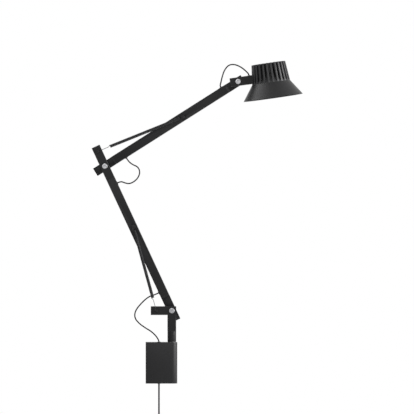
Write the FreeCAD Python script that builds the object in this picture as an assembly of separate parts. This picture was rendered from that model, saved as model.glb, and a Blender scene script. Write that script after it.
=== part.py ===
"""Articulating wall lamp with square-bar arms, half-lap pivots, two balance springs and a finned head.

Millimetres. X points away from the wall, Z up, Y across. The origin is on the wall face, at the middle of the
wall box. The arms are modelled in the pose in which the lamp is usually shown. Every sub-part is one node.
"""
import FreeCAD
import Part
import math
import os

Vec = FreeCAD.Vector

# ---------------------------------------------------------------- driving dimensions: pose
lower_arm_angle = 114.9      # from +X, turning up
upper_arm_angle = 32.4
head_angle = 8.1

# ---------------------------------------------------------------- wall box
box_height = 95.0
box_width = 25.0             # across the wall, and the diameter of the rounded nose
box_wall = 3.0
post_reach = 60.0            # wall face to the post's axis
plate_thickness = 3.0
plate_tab_length = 12.0
plate_tab_thickness = 2.5
wall_hole_spacing = 64.0
wall_hole_diameter = 5.0
box_screw_diameter = 4.0
box_screw_head_diameter = 7.0
box_screw_head_height = 1.6
box_screw_length = 7.0
lead_entry_reach = 30.4      # wall face to the leads' holes in the box
driver_length = 42.0
driver_width = 16.0
driver_height = 36.0

# ---------------------------------------------------------------- post and its bearings
post_diameter = 20.0
post_top = 73.0              # height of the round part's top
pin_diameter = 12.0
bush_wall = 2.0
bush_length = 15.0
bush_flange = 1.0            # thickness of every bush's flange
bush_flange_rim = 1.0        # how far a post bush's flange stands out from its sleeve
lower_bush_depth = 12.5      # from the box's bottom face to the lower bush's seat
post_screw_diameter = 5.0
post_screw_head_height = 3.0
post_screw_length = 16.0
nose_cap_thickness = 2.0

# ---------------------------------------------------------------- bars and pivots
bar_width = 20.0
bar_corner = 0.8
lap_gap = 1.0                # between the two halves of each pivot, filled by the friction washer
shoulder_height = 120.0      # of the shoulder pivot above the box's middle
lower_arm_pitch = 366.0      # shoulder to elbow
upper_arm_pitch = 363.0      # elbow to head pivot
tube_wall = 2.0
collar_length = 3.0
spigot_length = 15.0
spigot_slot = 8.0
lever_length = 48.3          # shoulder pivot to the lever's end
lever_pin_reach = 35.6
tail_length = 50.0
tail_pin_reach = 37.5
shoulder_stub = 25.0
shoulder_lap = 34.5          # pivot to the half-lap's shoulder
elbow_stub = 26.0
elbow_lap = 23.0
tail_lap = 30.0
tip_stub = 13.0
tip_lap = 27.6
head_stub = 18.5
head_lap = 20.0
bolt_diameter = 6.0
bolt_head_diameter = 12.4
bolt_head_height = 2.6
bolt_head_bevel = 0.5
bolt_socket_width = 4.0
bolt_socket_depth = 1.5
bush_diameter = 10.0
bush_flange_diameter = 14.0
washer_diameter = 18.0
nut_width = 10.0
nut_height = 5.0
bolt_end = 1.0               # thread that stands out of the nut

# ---------------------------------------------------------------- springs and their pins
spring_diameter = 7.4
spring_wire = 1.5
spring_curls = 50
spring_lift = 4.3            # arm face to the spring's axis
spring_reach = 212.0         # pivot to the anchor pin
anchor_across = -1.2         # arm's middle line to the anchor pin
hook_opening = -1.4          # quarter turns from the pin's far side back to the hook's free end
spring_low_lead = 30.6       # hook's centre to the coil's near end
spring_high_lead = 9.0
spring_pin_neck = 4.0
spring_pin_head = 6.5
anchor_pin_head = 9.5
pin_head_thickness = 1.2
pin_neck_length = 7.0
pin_shank_length = 4.0

# ---------------------------------------------------------------- leads
lead_diameter = 3.0          # through the arms and in the three loops
supply_diameter = 3.7
grommet_flange_diameter = 8.0
grommet_flange = 0.8
grommet_sleeve = 6.3
shoulder_exit = 49.5         # shoulder pivot to the lead's hole, along the lower arm
elbow_setback = 47.0         # the lower arm's second hole to the elbow pivot
elbow_exit = 52.0            # elbow pivot to the lead's hole, along the upper arm
tip_setback = 40.5           # the upper arm's second hole to the head pivot
entry_setback = 48.0         # the lead's hole in the head bracket to the head's axis
channel_diameter = 6.0
lead_end_gap = 0.3           # between two neighbouring stretches of the lead
inner_lead_offset = 4.5      # how far the lead lies from the middle of an arm's tube at its bends
coil_mean_radius = 21.4
coil_pitch = 4.8             # between neighbouring turns, and between layers
coil_layer_turns = (3.25, 3.0, 3.0, 3.25)
coil_drop = 151.0            # box middle to the coil's centre
coil_tail = 22.0
tie_width = 6.0
tie_thickness = 1.0
relief_length = 22.0
relief_small_diameter = 5.2
relief_large_diameter = 8.0
plug_diameter = 10.0
plug_length = 28.0
barrel_diameter = 5.5
barrel_bore = 2.1
barrel_length = 9.5

# ---------------------------------------------------------------- head
head_reach = 74.8            # head pivot to the head's axis
sink_top = 32.2              # above the head pivot
sink_base = -13.0
sink_top_radius = 39.2
sink_base_radius = 44.2
sink_core_radius = 27.0
sink_seat_radius = 36.0      # where the bracket's end stands
core_recess_radius = 22.0
core_recess_depth = 2.0
fin_count = 26
fin_thickness = 4.2
rim_drop = -48.0
rim_radius = 68.8
shade_wall = 1.5
shade_flange_radius = 31.0
bracket_spigot_diameter = 10.0
bracket_spigot_length = 12.0
grub_diameter = 5.0
grub_wall = 2.0              # round the grub screw's hole, up through the fins
board_radius = 20.0
board_thickness = 1.6
board_screw_circle = 16.0
board_screw_diameter = 3.0
board_screw_head = 5.2
board_screw_length = 4.0
ring_outer_radius = 36.0
ring_inner_radius = 30.0
ring_lip_radius = 28.0
ring_height = 15.5
ring_lip_height = 2.7
ring_screw_circle = 33.0
ring_screw_diameter = 2.5
ring_screw_head = 4.6
ring_screw_head_height = 1.8
ring_screw_bite = 5.0
lens_thickness = 3.0
reflector_throat = 8.5
reflector_wall = 1.0
screw_count = 3

# ---------------------------------------------------------------- fits
running_gap = 0.05           # radial, a shaft in its hole
seat_gap = 0.02              # radial, a pressed bush in its seat
loose_gap = 0.3              # pieces that lie beside each other

# ---------------------------------------------------------------- derived places
half_bar = bar_width / 2.0
half_lap_gap = lap_gap / 2.0
inner_half = half_bar - tube_wall
box_top = box_height / 2.0
box_bottom = -box_top
nose_radius = box_width / 2.0
bush_radius = pin_diameter / 2.0 + bush_wall
post_flange_radius = bush_radius + bush_flange_rim
post_bottom = box_top + bush_flange
lower_seat = box_bottom + lower_bush_depth
lead_radius = lead_diameter / 2.0
supply_radius = supply_diameter / 2.0
grommet_face = half_bar + grommet_flange
bracket_entry = head_reach - entry_setback   # head pivot to the lead's hole in the bracket
spring_y = -(half_bar + spring_lift)
spring_radius = (spring_diameter - spring_wire) / 2.0
spring_hook_radius = spring_pin_neck / 2.0 + loose_gap + spring_wire / 2.0
board_face = sink_base - board_thickness
flange_face = sink_base - shade_wall
ring_face = flange_face - ring_height
lens_face = ring_face + ring_lip_height


def direction(angle):
    """Unit vector in the arms' plane, at an angle from +X turning up."""
    return Vec(math.cos(math.radians(angle)), 0, math.sin(math.radians(angle)))


shoulder = Vec(post_reach, 0, shoulder_height)
elbow = shoulder + direction(lower_arm_angle) * lower_arm_pitch
head_pivot = elbow + direction(upper_arm_angle) * upper_arm_pitch


# ---------------------------------------------------------------- leads' routes, chosen by hand
# Each point is (x, z) counted from the pivot that the loop passes.
shoulder_route_low = [
    (-37.0, -57.4), (-48.0, -47.4), (-62.0, -39.2), (-76.3, -28.8),
    (-85.7, -16.6), (-84.6, -2.0), (-74.5, 12.5), (-65.0, 21.7)]
shoulder_route_high = [(-65.0, 21.7), (-55.3, 31.1), (-41.4, 35.6)]
elbow_route = [
    (54.5, 11.1), (63.9, 3.6), (76.5, -1.4), (81.1, -13.5), (76.9, -26.2),
    (67.1, -36.0), (55.6, -40.6), (45.6, -38.2), (37.1, -34.7)]
head_route = [
    (-41.7, -9.7), (-39.7, -2.6), (-37.0, 10.0), (-31.8, 26.1), (-21.6, 38.9),
    (-6.9, 39.9), (8.1, 32.8), (18.2, 24.1), (24.8, 17.2)]
box_exit_bend = (-0.8, 4.2)  # the first bend, counted from the wall box's upper grommet


# ---------------------------------------------------------------- plain shapes
def block(x_from, x_to, y_from, y_to, z_from, z_to):
    """A box between two corners."""
    return Part.makeBox(x_to - x_from, y_to - y_from, z_to - z_from, Vec(x_from, y_from, z_from))


def round_x(radius, x_from, x_to, y=0.0, z=0.0):
    """A cylinder along X."""
    return Part.makeCylinder(radius, x_to - x_from, Vec(x_from, y, z), Vec(1, 0, 0))


def round_y(radius, y_from, y_to, x=0.0, z=0.0):
    """A cylinder along Y."""
    return Part.makeCylinder(radius, y_to - y_from, Vec(x, y_from, z), Vec(0, 1, 0))


def round_z(radius, z_from, z_to, x=0.0, y=0.0):
    """A cylinder along Z."""
    return Part.makeCylinder(radius, z_to - z_from, Vec(x, y, z_from), Vec(0, 0, 1))


def turned(outline):
    """A solid of revolution about Z from (radius, z) points."""
    points = [Vec(radius, 0, z) for radius, z in outline]
    face = Part.Face(Part.makePolygon(points + points[:1]))
    return face.revolve(Vec(0, 0, 0), Vec(0, 0, 1), 360)


def hexagon_y(width, y_from, y_to):
    """A six-sided prism along Y, measured across its flats."""
    corner = width / math.sqrt(3.0)
    points = [direction(60 * side) * corner + Vec(0, y_from, 0) for side in range(7)]
    return Part.Face(Part.makePolygon(points)).extrude(Vec(0, y_to - y_from, 0))


def square_bar(x_from, x_to, half, corner):
    """A square bar along X with rounded long edges."""
    flat = half - corner
    arc_middle = flat + corner / math.sqrt(2.0)
    edges = []
    for side_y, side_z, next_y, next_z in ((1, 1, -1, 1), (-1, 1, -1, -1), (-1, -1, 1, -1), (1, -1, 1, 1)):
        if side_z == next_z:
            arc_from = Vec(x_from, side_y * half, side_z * flat)
            arc_to = Vec(x_from, side_y * flat, side_z * half)
            line_to = Vec(x_from, next_y * flat, next_z * half)
        else:
            arc_from = Vec(x_from, side_y * flat, side_z * half)
            arc_to = Vec(x_from, side_y * half, side_z * flat)
            line_to = Vec(x_from, next_y * half, next_z * flat)
        middle = Vec(x_from, side_y * arc_middle, side_z * arc_middle)
        edges.append(Part.Arc(arc_from, middle, arc_to).toShape())
        edges.append(Part.LineSegment(arc_to, line_to).toShape())
    return Part.Face(Part.Wire(edges)).extrude(Vec(x_to - x_from, 0, 0))


def placed(shape, pivot, angle=0.0):
    """A copy turned about Y, so that its +X points along the angle, and moved to a pivot."""
    moved = shape.copy()
    moved.rotate(Vec(0, 0, 0), Vec(0, 1, 0), -angle)
    moved.translate(pivot)
    return moved


def flipped(shape, pitch):
    """A copy turned end for end, with its pivot moved along X."""
    moved = shape.copy()
    moved.rotate(Vec(0, 0, 0), Vec(0, 1, 0), 180)
    moved.translate(Vec(pitch, 0, 0))
    return moved


def local_point(pivot, angle, along, across):
    """The place of a point of a turned piece, given along and across it."""
    return pivot + direction(angle) * along + direction(angle + 90) * across


def around(shape, count, radius):
    """Copies of a shape set evenly on a circle about Z."""
    copies = []
    for index in range(count):
        copy = shape.copy()
        copy.translate(Vec(radius, 0, 0))
        copy.rotate(Vec(0, 0, 0), Vec(0, 0, 1), 360.0 * index / count)
        copies.append(copy)
    return copies


# ---------------------------------------------------------------- tubes, loops and coils
def tangent_arc(start, corner, end):
    """The arc that leaves start towards the corner and reaches end away from it."""
    chord_middle = (start + end) * 0.5
    half_chord = (end - start).Length / 2.0
    rise = corner - chord_middle
    if rise.Length < 1e-6:
        return Part.LineSegment(start, end).toShape()
    sagitta = half_chord * math.tan(math.atan2(rise.Length, half_chord) / 2.0)
    return Part.Arc(start, chord_middle + rise * (sagitta / rise.Length), end).toShape()


def biarc(start, start_way, end, end_way):
    """Two tangent arcs from one place and heading to another."""
    span = end - start
    if span.cross(start_way).Length < 1e-6 and span.cross(end_way).Length < 1e-6:
        return [Part.LineSegment(start, end).toShape()]
    ways = start_way + end_way
    bend = 2.0 * (1.0 - start_way.dot(end_way))
    if bend < 1e-9:
        reach = span.dot(span) / (2.0 * span.dot(ways))
    else:
        reach = (math.sqrt(span.dot(ways) ** 2 + bend * span.dot(span)) - span.dot(ways)) / bend
    first_corner = start + start_way * reach
    last_corner = end - end_way * reach
    joint = (first_corner + last_corner) * 0.5
    return [tangent_arc(start, first_corner, joint), tangent_arc(joint, last_corner, end)]


def wound_edges(stations):
    """Biarcs through a list of (place, heading)."""
    edges = []
    for (start, start_way), (end, end_way) in zip(stations, stations[1:]):
        edges += biarc(start, start_way, end, end_way)
    return edges


def routed_edges(name, points):
    """Straight runs joined by arcs as large as the runs allow; prints the radii."""
    edges = []
    radii = []
    start = points[0]
    for before, corner, after in zip(points, points[1:], points[2:]):
        way_in = (corner - before).normalize()
        way_out = (after - corner).normalize()
        turn = way_in.getAngle(way_out)
        shorter = min((corner - before).Length, (after - corner).Length)
        arc_from = corner - way_in * 0.45 * shorter
        arc_to = corner + way_out * 0.45 * shorter
        edges.append(Part.LineSegment(start, arc_from).toShape())
        edges.append(tangent_arc(arc_from, corner, arc_to))
        radii.append(0.45 * shorter / math.tan(turn / 2.0))
        start = arc_to
    edges.append(Part.LineSegment(start, points[-1]).toShape())
    if radii:
        print(name, "radii", " ".join("%.1f" % radius for radius in radii))
    return edges


def swept(name, edges, diameter):
    """A round tube along edges; prints its length and how its volume compares."""
    path = Part.Wire(edges)
    first = edges[0]
    start = first.valueAt(first.FirstParameter)
    heading = first.tangentAt(first.FirstParameter)
    section = Part.Wire([Part.makeCircle(diameter / 2.0, start, heading)])
    tube = path.makePipeShell([section], True, False)
    expected = math.pi * diameter ** 2 / 4.0 * path.Length
    print(name, "length %.1f volume ratio %.4f" % (path.Length, abs(tube.Volume) / expected))
    return tube


def least_gap(name, edges, diameter, apart):
    """Prints the least distance between stretches of one tube that lie apart along it."""
    places = []
    along = 0.0
    for edge in edges:
        steps = max(2, int(edge.Length / (diameter * 0.5)))
        for place in edge.discretize(steps + 1)[:-1]:
            places.append((along, place))
            along += edge.Length / steps
    least = min(
        (later - earlier).Length
        for index, (at, earlier) in enumerate(places)
        for further, later in places[index + 1:]
        if further - at > apart)
    print(name, "least gap to itself %.2f" % (least - diameter))


def in_plane(origin, route):
    """Route points in the arms' plane, counted from a place."""
    return [origin + Vec(x, 0, z) for x, z in route]


# ---------------------------------------------------------------- small hardware, at its own origin
def pivot_bolt():
    """Low round-headed bolt with a hexagon socket, its head at the front."""
    under_head = -half_bar
    head_face = under_head - bolt_head_height
    head_radius = bolt_head_diameter / 2.0
    head = round_y(head_radius, head_face + bolt_head_bevel, under_head)
    bevel = Part.makeCone(
        head_radius - bolt_head_bevel, head_radius, bolt_head_bevel, Vec(0, head_face, 0), Vec(0, 1, 0))
    shank_end = half_bar + bush_flange + nut_height + bolt_end
    shank = round_y(bolt_diameter / 2.0, under_head, shank_end)
    socket = hexagon_y(bolt_socket_width, head_face, head_face + bolt_socket_depth)
    return head.fuse([bevel, shank]).cut(socket).removeSplitter()


def pivot_nut():
    """Lock nut with a round collar, bearing on the bush's flange."""
    seat = half_bar + bush_flange
    hexagon = hexagon_y(nut_width, seat, seat + nut_height * 0.7)
    collar = round_y(nut_width * 0.45, seat + nut_height * 0.7, seat + nut_height)
    hole = round_y(bolt_diameter / 2.0 + running_gap, seat, seat + nut_height)
    return hexagon.fuse(collar).cut(hole)


def pivot_washer():
    """Friction washer between the two halves."""
    disc = round_y(washer_diameter / 2.0, -half_lap_gap, half_lap_gap)
    return disc.cut(round_y(bolt_diameter / 2.0 + running_gap, -half_lap_gap, half_lap_gap))


def pivot_bush():
    """Flanged bush pressed into the rear half."""
    sleeve = round_y(bush_diameter / 2.0, half_lap_gap, half_bar)
    flange = round_y(bush_flange_diameter / 2.0, half_bar, half_bar + bush_flange)
    hole = round_y(bolt_diameter / 2.0 + running_gap, half_lap_gap, half_bar + bush_flange)
    return sleeve.fuse(flange).cut(hole)


def spring_pin(head_diameter):
    """Headed pin that holds a spring's hook, standing on the front face."""
    shank = round_y(spring_pin_neck / 2.0, -half_bar - pin_neck_length, -half_bar + pin_shank_length)
    head_from = -half_bar - pin_neck_length - pin_head_thickness
    head = round_y(head_diameter / 2.0, head_from, -half_bar - pin_neck_length)
    return shank.fuse(head)


def pin_hole(along, across=0.0):
    """The hole for a spring pin in the front face."""
    radius = spring_pin_neck / 2.0 + seat_gap
    return round_y(radius, -half_bar, -half_bar + pin_shank_length, along, across)


def grommet(wall, cord_radius):
    """Flanged ring in a wall whose outer face is at z = 0."""
    flange = round_z(grommet_flange_diameter / 2.0, 0, grommet_flange)
    sleeve = round_z(grommet_sleeve / 2.0, -wall - grommet_flange, 0)
    hole = round_z(cord_radius + running_gap, -wall - grommet_flange, grommet_flange)
    return flange.fuse(sleeve).cut(hole)


def grommet_hole(face, wall, along, side):
    """The hole for a grommet in the upper (side 1) or lower (side -1) wall of a piece."""
    radius = grommet_sleeve / 2.0 + running_gap
    if side > 0:
        return round_z(radius, face - wall, face, along)
    return round_z(radius, -face, -face + wall, along)


def wall_grommet(face, wall, along, side, cord_radius):
    """A grommet set in the upper or lower wall of a piece."""
    ring = grommet(wall, cord_radius)
    if side < 0:
        ring.rotate(Vec(0, 0, 0), Vec(1, 0, 0), 180)
    ring.translate(Vec(along, 0, side * face))
    return ring


# ---------------------------------------------------------------- wall box
def wall_box():
    """Housing with a half-round nose, open at the wall."""
    slab = block(0, post_reach, -nose_radius, nose_radius, box_bottom, box_top)
    outer = slab.fuse(round_z(nose_radius, box_bottom, box_top, post_reach))
    inner = nose_radius - box_wall
    cavity_end = post_reach - bush_radius - box_wall
    cavity = block(0, cavity_end, -inner, inner, box_bottom + box_wall, box_top - box_wall)
    cuts = [
        cavity,
        round_z(bush_radius + seat_gap, box_top - bush_length, box_top, post_reach),
        round_z(pin_diameter / 2.0 + loose_gap, lower_seat, box_top, post_reach),
        round_z(bush_radius + seat_gap, lower_seat, lower_seat + bush_length, post_reach),
        round_z(post_flange_radius + loose_gap, box_bottom, lower_seat, post_reach),
    ]
    screw_x = plate_thickness + plate_tab_length / 2.0
    for side in (1, -1):
        outer_face = side * box_top
        sunk_face = side * (box_top - box_screw_head_height)
        inner_face = side * (box_top - box_wall)
        head_radius = box_screw_head_diameter / 2.0 + running_gap
        shank_radius = box_screw_diameter / 2.0 + running_gap
        cuts.append(round_z(head_radius, min(outer_face, sunk_face), max(outer_face, sunk_face), screw_x))
        cuts.append(round_z(shank_radius, min(inner_face, sunk_face), max(inner_face, sunk_face), screw_x))
        cuts.append(grommet_hole(box_top, box_wall, lead_entry_reach, side))
    return outer.cut(cuts).removeSplitter()


def wall_plate():
    """Plate that is screwed to the wall, with two tabs that carry the box."""
    inner = nose_radius - box_wall - loose_gap
    top = box_top - box_wall - loose_gap
    plate = block(0, plate_thickness, -inner, inner, -top, top)
    tab_end = plate_thickness + plate_tab_length
    upper_tab = block(plate_thickness, tab_end, -inner, inner, top - plate_tab_thickness, top)
    lower_tab = block(plate_thickness, tab_end, -inner, inner, -top, plate_tab_thickness - top)
    holes = [
        round_x(wall_hole_diameter / 2.0, 0, plate_thickness, 0, side * wall_hole_spacing / 2.0)
        for side in (1, -1)]
    screw_x = plate_thickness + plate_tab_length / 2.0
    holes.append(round_z(box_screw_diameter / 2.0 + running_gap, -top, top, screw_x))
    return plate.fuse([upper_tab, lower_tab]).cut(holes).removeSplitter()


def box_screws():
    """The two sunk screws that hold the box on its plate."""
    screw_x = plate_thickness + plate_tab_length / 2.0
    seat = box_top - box_screw_head_height
    head = round_z(box_screw_head_diameter / 2.0, seat, box_top, screw_x)
    shank = round_z(box_screw_diameter / 2.0, seat - box_screw_length, seat, screw_x)
    slot = block(
        screw_x - box_screw_head_diameter, screw_x + box_screw_head_diameter,
        -0.4, 0.4, box_top - box_screw_head_height / 2.0, box_top)
    upper = head.fuse(shank).cut(slot)
    lower = upper.mirror(Vec(0, 0, 0), Vec(0, 0, 1))
    return Part.makeCompound([upper, lower])


def led_driver():
    """Potted driver on the wall plate, between the two leads."""
    top = driver_height / 2.0
    side = driver_width / 2.0
    return block(plate_thickness, plate_thickness + driver_length, -side, side, -top, top)


def box_leads():
    """Short leads from the driver to the two grommets."""
    driver_top = driver_height / 2.0
    end = box_top + grommet_flange - lead_end_gap
    upper = round_z(lead_radius, driver_top, end, lead_entry_reach)
    lower = round_z(supply_radius, -end, -driver_top, lead_entry_reach)
    return Part.makeCompound([upper, lower])


def box_grommets():
    """Grommets of the lamp's lead (top) and of the supply lead (bottom)."""
    upper = wall_grommet(box_top, box_wall, lead_entry_reach, 1, lead_radius)
    lower = wall_grommet(box_top, box_wall, lead_entry_reach, -1, supply_radius)
    return Part.makeCompound([upper, lower])


def post_bushes():
    """The two flanged bushes that the post turns in."""
    hole_radius = pin_diameter / 2.0 + running_gap
    upper = round_z(bush_radius, box_top - bush_length, box_top, post_reach)
    upper = upper.fuse(round_z(post_flange_radius, box_top, post_bottom, post_reach))
    upper = upper.cut(round_z(hole_radius, box_top - bush_length, post_bottom, post_reach))
    flange_bottom = lower_seat - bush_flange
    lower = round_z(bush_radius, lower_seat, lower_seat + bush_length, post_reach)
    lower = lower.fuse(round_z(post_flange_radius, flange_bottom, lower_seat, post_reach))
    lower = lower.cut(round_z(hole_radius, flange_bottom, lower_seat + bush_length, post_reach))
    return Part.makeCompound([upper, lower])


def post_screw():
    """Wide-headed screw that keeps the post in its bushes."""
    seat = lower_seat - bush_flange
    head = round_z(post_flange_radius, seat - post_screw_head_height, seat, post_reach)
    shank = round_z(post_screw_diameter / 2.0, seat, seat + post_screw_length, post_reach)
    hexagon = hexagon_y(bolt_socket_width, 0, bolt_socket_depth)
    hexagon.rotate(Vec(0, 0, 0), Vec(1, 0, 0), 90)
    hexagon.translate(Vec(post_reach, 0, seat - post_screw_head_height))
    return head.fuse(shank).cut(hexagon)


def nose_cap():
    """Push-in cap that closes the nose from below."""
    radius = post_flange_radius + loose_gap - running_gap
    return round_z(radius, box_bottom, box_bottom + nose_cap_thickness, post_reach)


# ---------------------------------------------------------------- swivel bracket
def swivel_bracket():
    """One piece: pin, round post, half-lap upright and lever."""
    pin_bottom = lower_seat - bush_flange
    pin = round_z(pin_diameter / 2.0, pin_bottom, post_bottom, post_reach)
    post = round_z(post_diameter / 2.0, post_bottom, post_top, post_reach)
    upright = square_bar(-half_bar, shoulder_height - post_top, half_bar, bar_corner)
    upright.rotate(Vec(0, 0, 0), Vec(0, 1, 0), 90)
    upright.translate(shoulder)
    lever = square_bar(-lever_length, half_bar, half_bar, bar_corner)
    lever.translate(shoulder)
    far = bar_width * 4
    rear_half = block(-far, far, -half_lap_gap, far, post_top, shoulder_height + far)
    flat = upright.fuse(lever).cut(rear_half)
    holes = [
        round_y(bolt_diameter / 2.0 + running_gap, -half_bar, half_bar, post_reach, shoulder_height),
        placed(pin_hole(-lever_pin_reach), shoulder),
        round_z(
            post_screw_diameter / 2.0 + running_gap, pin_bottom, pin_bottom + post_screw_length, post_reach),
    ]
    return pin.fuse([post, flat]).removeSplitter().cut(holes)


# ---------------------------------------------------------------- arms
def end_fitting(stub, lap, front):
    """Half-lap tongue, collar and forked spigot; the pivot is at the origin and the tube lies along +X."""
    bar = square_bar(-stub, lap + collar_length, half_bar, bar_corner)
    if front:
        removed = block(-stub, lap, -half_lap_gap, half_bar, -half_bar, half_bar)
        hole = round_y(bolt_diameter / 2.0 + running_gap, -half_bar, half_bar)
    else:
        removed = block(-stub, lap, -half_bar, half_lap_gap, -half_bar, half_bar)
        hole = round_y(bush_diameter / 2.0 + seat_gap, -half_bar, half_bar)
    spigot_half = inner_half - running_gap
    spigot_end = lap + collar_length + spigot_length
    spigot = square_bar(lap + collar_length, spigot_end, spigot_half, bar_corner)
    slot = block(lap + collar_length, spigot_end, -spigot_slot / 2.0, spigot_slot / 2.0, -half_bar, half_bar)
    return bar.cut(removed).fuse(spigot.cut(slot)).cut(hole).removeSplitter()


def arm_tube(tube_from, tube_to, holes):
    """Square tube with holes for grommets and the spring's anchor pin."""
    outer = square_bar(tube_from, tube_to, half_bar, bar_corner)
    inner = square_bar(tube_from, tube_to, inner_half, bar_corner / 2.0)
    lead_holes = [grommet_hole(half_bar, tube_wall, along, side) for along, side in holes]
    return outer.cut([inner, pin_hole(spring_reach, anchor_across)] + lead_holes)


def arm_grommets(holes):
    """The grommets of one arm."""
    return Part.makeCompound([
        wall_grommet(half_bar, tube_wall, along, side, lead_radius) for along, side in holes])


def arm_lead(name, lead_from, from_side, lead_to, to_side):
    """The lead inside an arm, from just inside one grommet's face to just inside the other's."""
    end = grommet_face - lead_end_gap
    points = [
        Vec(lead_from, 0, from_side * end),
        Vec(lead_from, 0, -from_side * inner_lead_offset),
        Vec(lead_to, 0, -to_side * inner_lead_offset),
        Vec(lead_to, 0, to_side * end)]
    return swept(name, routed_edges(name, points), lead_diameter)


elbow_entry = lower_arm_pitch - elbow_setback
tip_exit = upper_arm_pitch - tip_setback
lower_holes = ((shoulder_exit, 1), (elbow_entry, -1))
upper_holes = ((elbow_exit, -1), (tip_exit, 1))


# ---------------------------------------------------------------- springs
def spring(name, hook_place, anchor_place):
    """Extension spring from a hook on one pin to an eye on another, as one unbroken wire."""
    axis = (anchor_place - hook_place).normalize()
    side = axis.cross(Vec(0, 1, 0))
    depth = Vec(0, 1, 0)
    length = (anchor_place - hook_place).Length

    def place(along, across, deep):
        return hook_place + axis * along + side * across + depth * deep

    def eye(centre, outward, reverse):
        """Stations round a pin; outward is the axis's sense away from the coil."""
        loop = []
        for quarter in (hook_opening, -1, 0, 1):
            angle = math.radians(90 * quarter)
            offset = axis * (outward * math.cos(angle)) + side * math.sin(angle)
            way = axis * (-outward * math.sin(angle)) + side * math.cos(angle)
            loop.append((centre + offset * spring_hook_radius, way))
        free_end, free_way = loop[0]
        loop.insert(0, (free_end - free_way * spring_wire, free_way))
        if reverse:
            loop = [(spot, way * -1.0) for spot, way in reversed(loop)]
        return loop

    coil_from = spring_low_lead
    coil_to = length - spring_high_lead
    clear = spring_hook_radius * 2.2
    stations = eye(hook_place, -1, False)
    stations.append((place(clear, 0, 0), axis))
    stations.append((place(coil_from - spring_diameter, 0, 0), axis))
    pitch = (coil_to - coil_from) / spring_curls
    rise = pitch / (2.0 * math.pi)
    for quarter in range(4 * spring_curls + 1):
        angle = math.pi / 2.0 * quarter
        sine = spring_radius * math.sin(angle)
        cosine = spring_radius * math.cos(angle)
        spot = place(coil_from + pitch * quarter / 4.0, sine, cosine)
        way = axis * rise + side * cosine - depth * sine
        stations.append((spot, way.normalize()))
    stations += eye(anchor_place, 1, True)
    edges = wound_edges(stations)
    least_gap(name, edges, spring_wire, math.pi * spring_radius)
    return swept(name, edges, spring_wire)


# ---------------------------------------------------------------- head
def envelope():
    """Outer form of the heat sink, about its own axis."""
    return Part.makeCone(sink_base_radius, sink_top_radius, sink_top - sink_base, Vec(0, 0, sink_base))


def heat_sink():
    """Turned core with upright fins, a seat for the bracket and blind screw holes."""
    flare = (rim_radius - sink_base_radius) / (sink_base - rim_drop)
    flare_top = sink_base + (sink_base_radius - sink_core_radius) / flare
    core = turned([
        (0, sink_base), (sink_base_radius, sink_base), (sink_core_radius, flare_top),
        (sink_core_radius, sink_top), (core_recess_radius, sink_top),
        (core_recess_radius, sink_top - core_recess_depth), (0, sink_top - core_recess_depth)])
    fins = []
    for index in range(fin_count):
        fin = block(
            sink_core_radius - fin_thickness / 2.0, sink_base_radius,
            -fin_thickness / 2.0, fin_thickness / 2.0, sink_base, sink_top)
        fin.rotate(Vec(0, 0, 0), Vec(0, 0, 1), 360.0 * index / fin_count)
        fins.append(fin)
    finned = Part.makeCompound(fins).common(envelope())
    seat = half_bar + loose_gap
    boss = block(-sink_seat_radius, 0, -half_bar, half_bar, -half_bar, half_bar)
    spigot_end = bracket_spigot_length - sink_seat_radius
    grub_place = (spigot_end - sink_seat_radius) / 2.0
    grub_boss = round_z(grub_diameter / 2.0 + grub_wall, 0, sink_top, grub_place)
    body = core.fuse([boss, grub_boss] + finned.Solids)
    cuts = [
        block(-sink_base_radius, -sink_seat_radius, -seat, seat, -seat, seat),
        round_x(bracket_spigot_diameter / 2.0 + running_gap, -sink_seat_radius, spigot_end),
        round_x(channel_diameter / 2.0, spigot_end, 0),
        round_z(channel_diameter / 2.0, sink_base, 0),
        round_z(grub_diameter / 2.0 + running_gap, 0, sink_top, grub_place),
    ]
    board_hole = round_z(
        board_screw_diameter / 2.0 + running_gap, sink_base, sink_base + board_screw_length)
    ring_hole = round_z(ring_screw_diameter / 2.0 + running_gap, sink_base, sink_base + ring_screw_bite)
    cuts += around(board_hole, screw_count, board_screw_circle)
    cuts += around(ring_hole, screw_count, ring_screw_circle)
    sink = body.cut(cuts).removeSplitter()
    sink.translate(Vec(head_reach, 0, 0))
    return sink


def head_bracket():
    """Square bar with a half-lap at the pivot, a lead channel and a spigot into the heat sink."""
    bar_end = head_reach - sink_seat_radius
    bar = square_bar(-head_stub, bar_end, half_bar, bar_corner)
    rear_half = block(-head_stub, head_lap, -half_lap_gap, half_bar, -half_bar, half_bar)
    spigot_end = bar_end + bracket_spigot_length
    spigot = round_x(bracket_spigot_diameter / 2.0, bar_end, spigot_end)
    cuts = [
        rear_half,
        round_y(bolt_diameter / 2.0 + running_gap, -half_bar, half_bar),
        round_z(grommet_sleeve / 2.0 + running_gap, 0, half_bar, bracket_entry),
        round_x(channel_diameter / 2.0, bracket_entry, spigot_end),
    ]
    return bar.fuse(spigot).cut(cuts).removeSplitter()


def bracket_grub():
    """Grub screw that locks the bracket's spigot in the heat sink."""
    place = head_reach - sink_seat_radius + bracket_spigot_length / 2.0
    body = round_z(grub_diameter / 2.0, bracket_spigot_diameter / 2.0, half_bar, place)
    cup = round_z(grub_diameter / 4.0, half_bar - grub_diameter / 2.0, half_bar, place)
    return body.cut(cup)


def head_lead():
    """The lead from the bracket's grommet through spigot and heat sink to the light source's board."""
    points = [
        Vec(bracket_entry, 0, grommet_face - lead_end_gap),
        Vec(bracket_entry, 0, 0),
        Vec(head_reach, 0, 0),
        Vec(head_reach, 0, sink_base + lead_end_gap)]
    return swept("head_lead", routed_edges("head_lead", points), lead_diameter)


def on_head_axis(shape):
    """A head piece moved from its own axis to the head's axis."""
    shape.translate(Vec(head_reach, 0, 0))
    return shape


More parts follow.
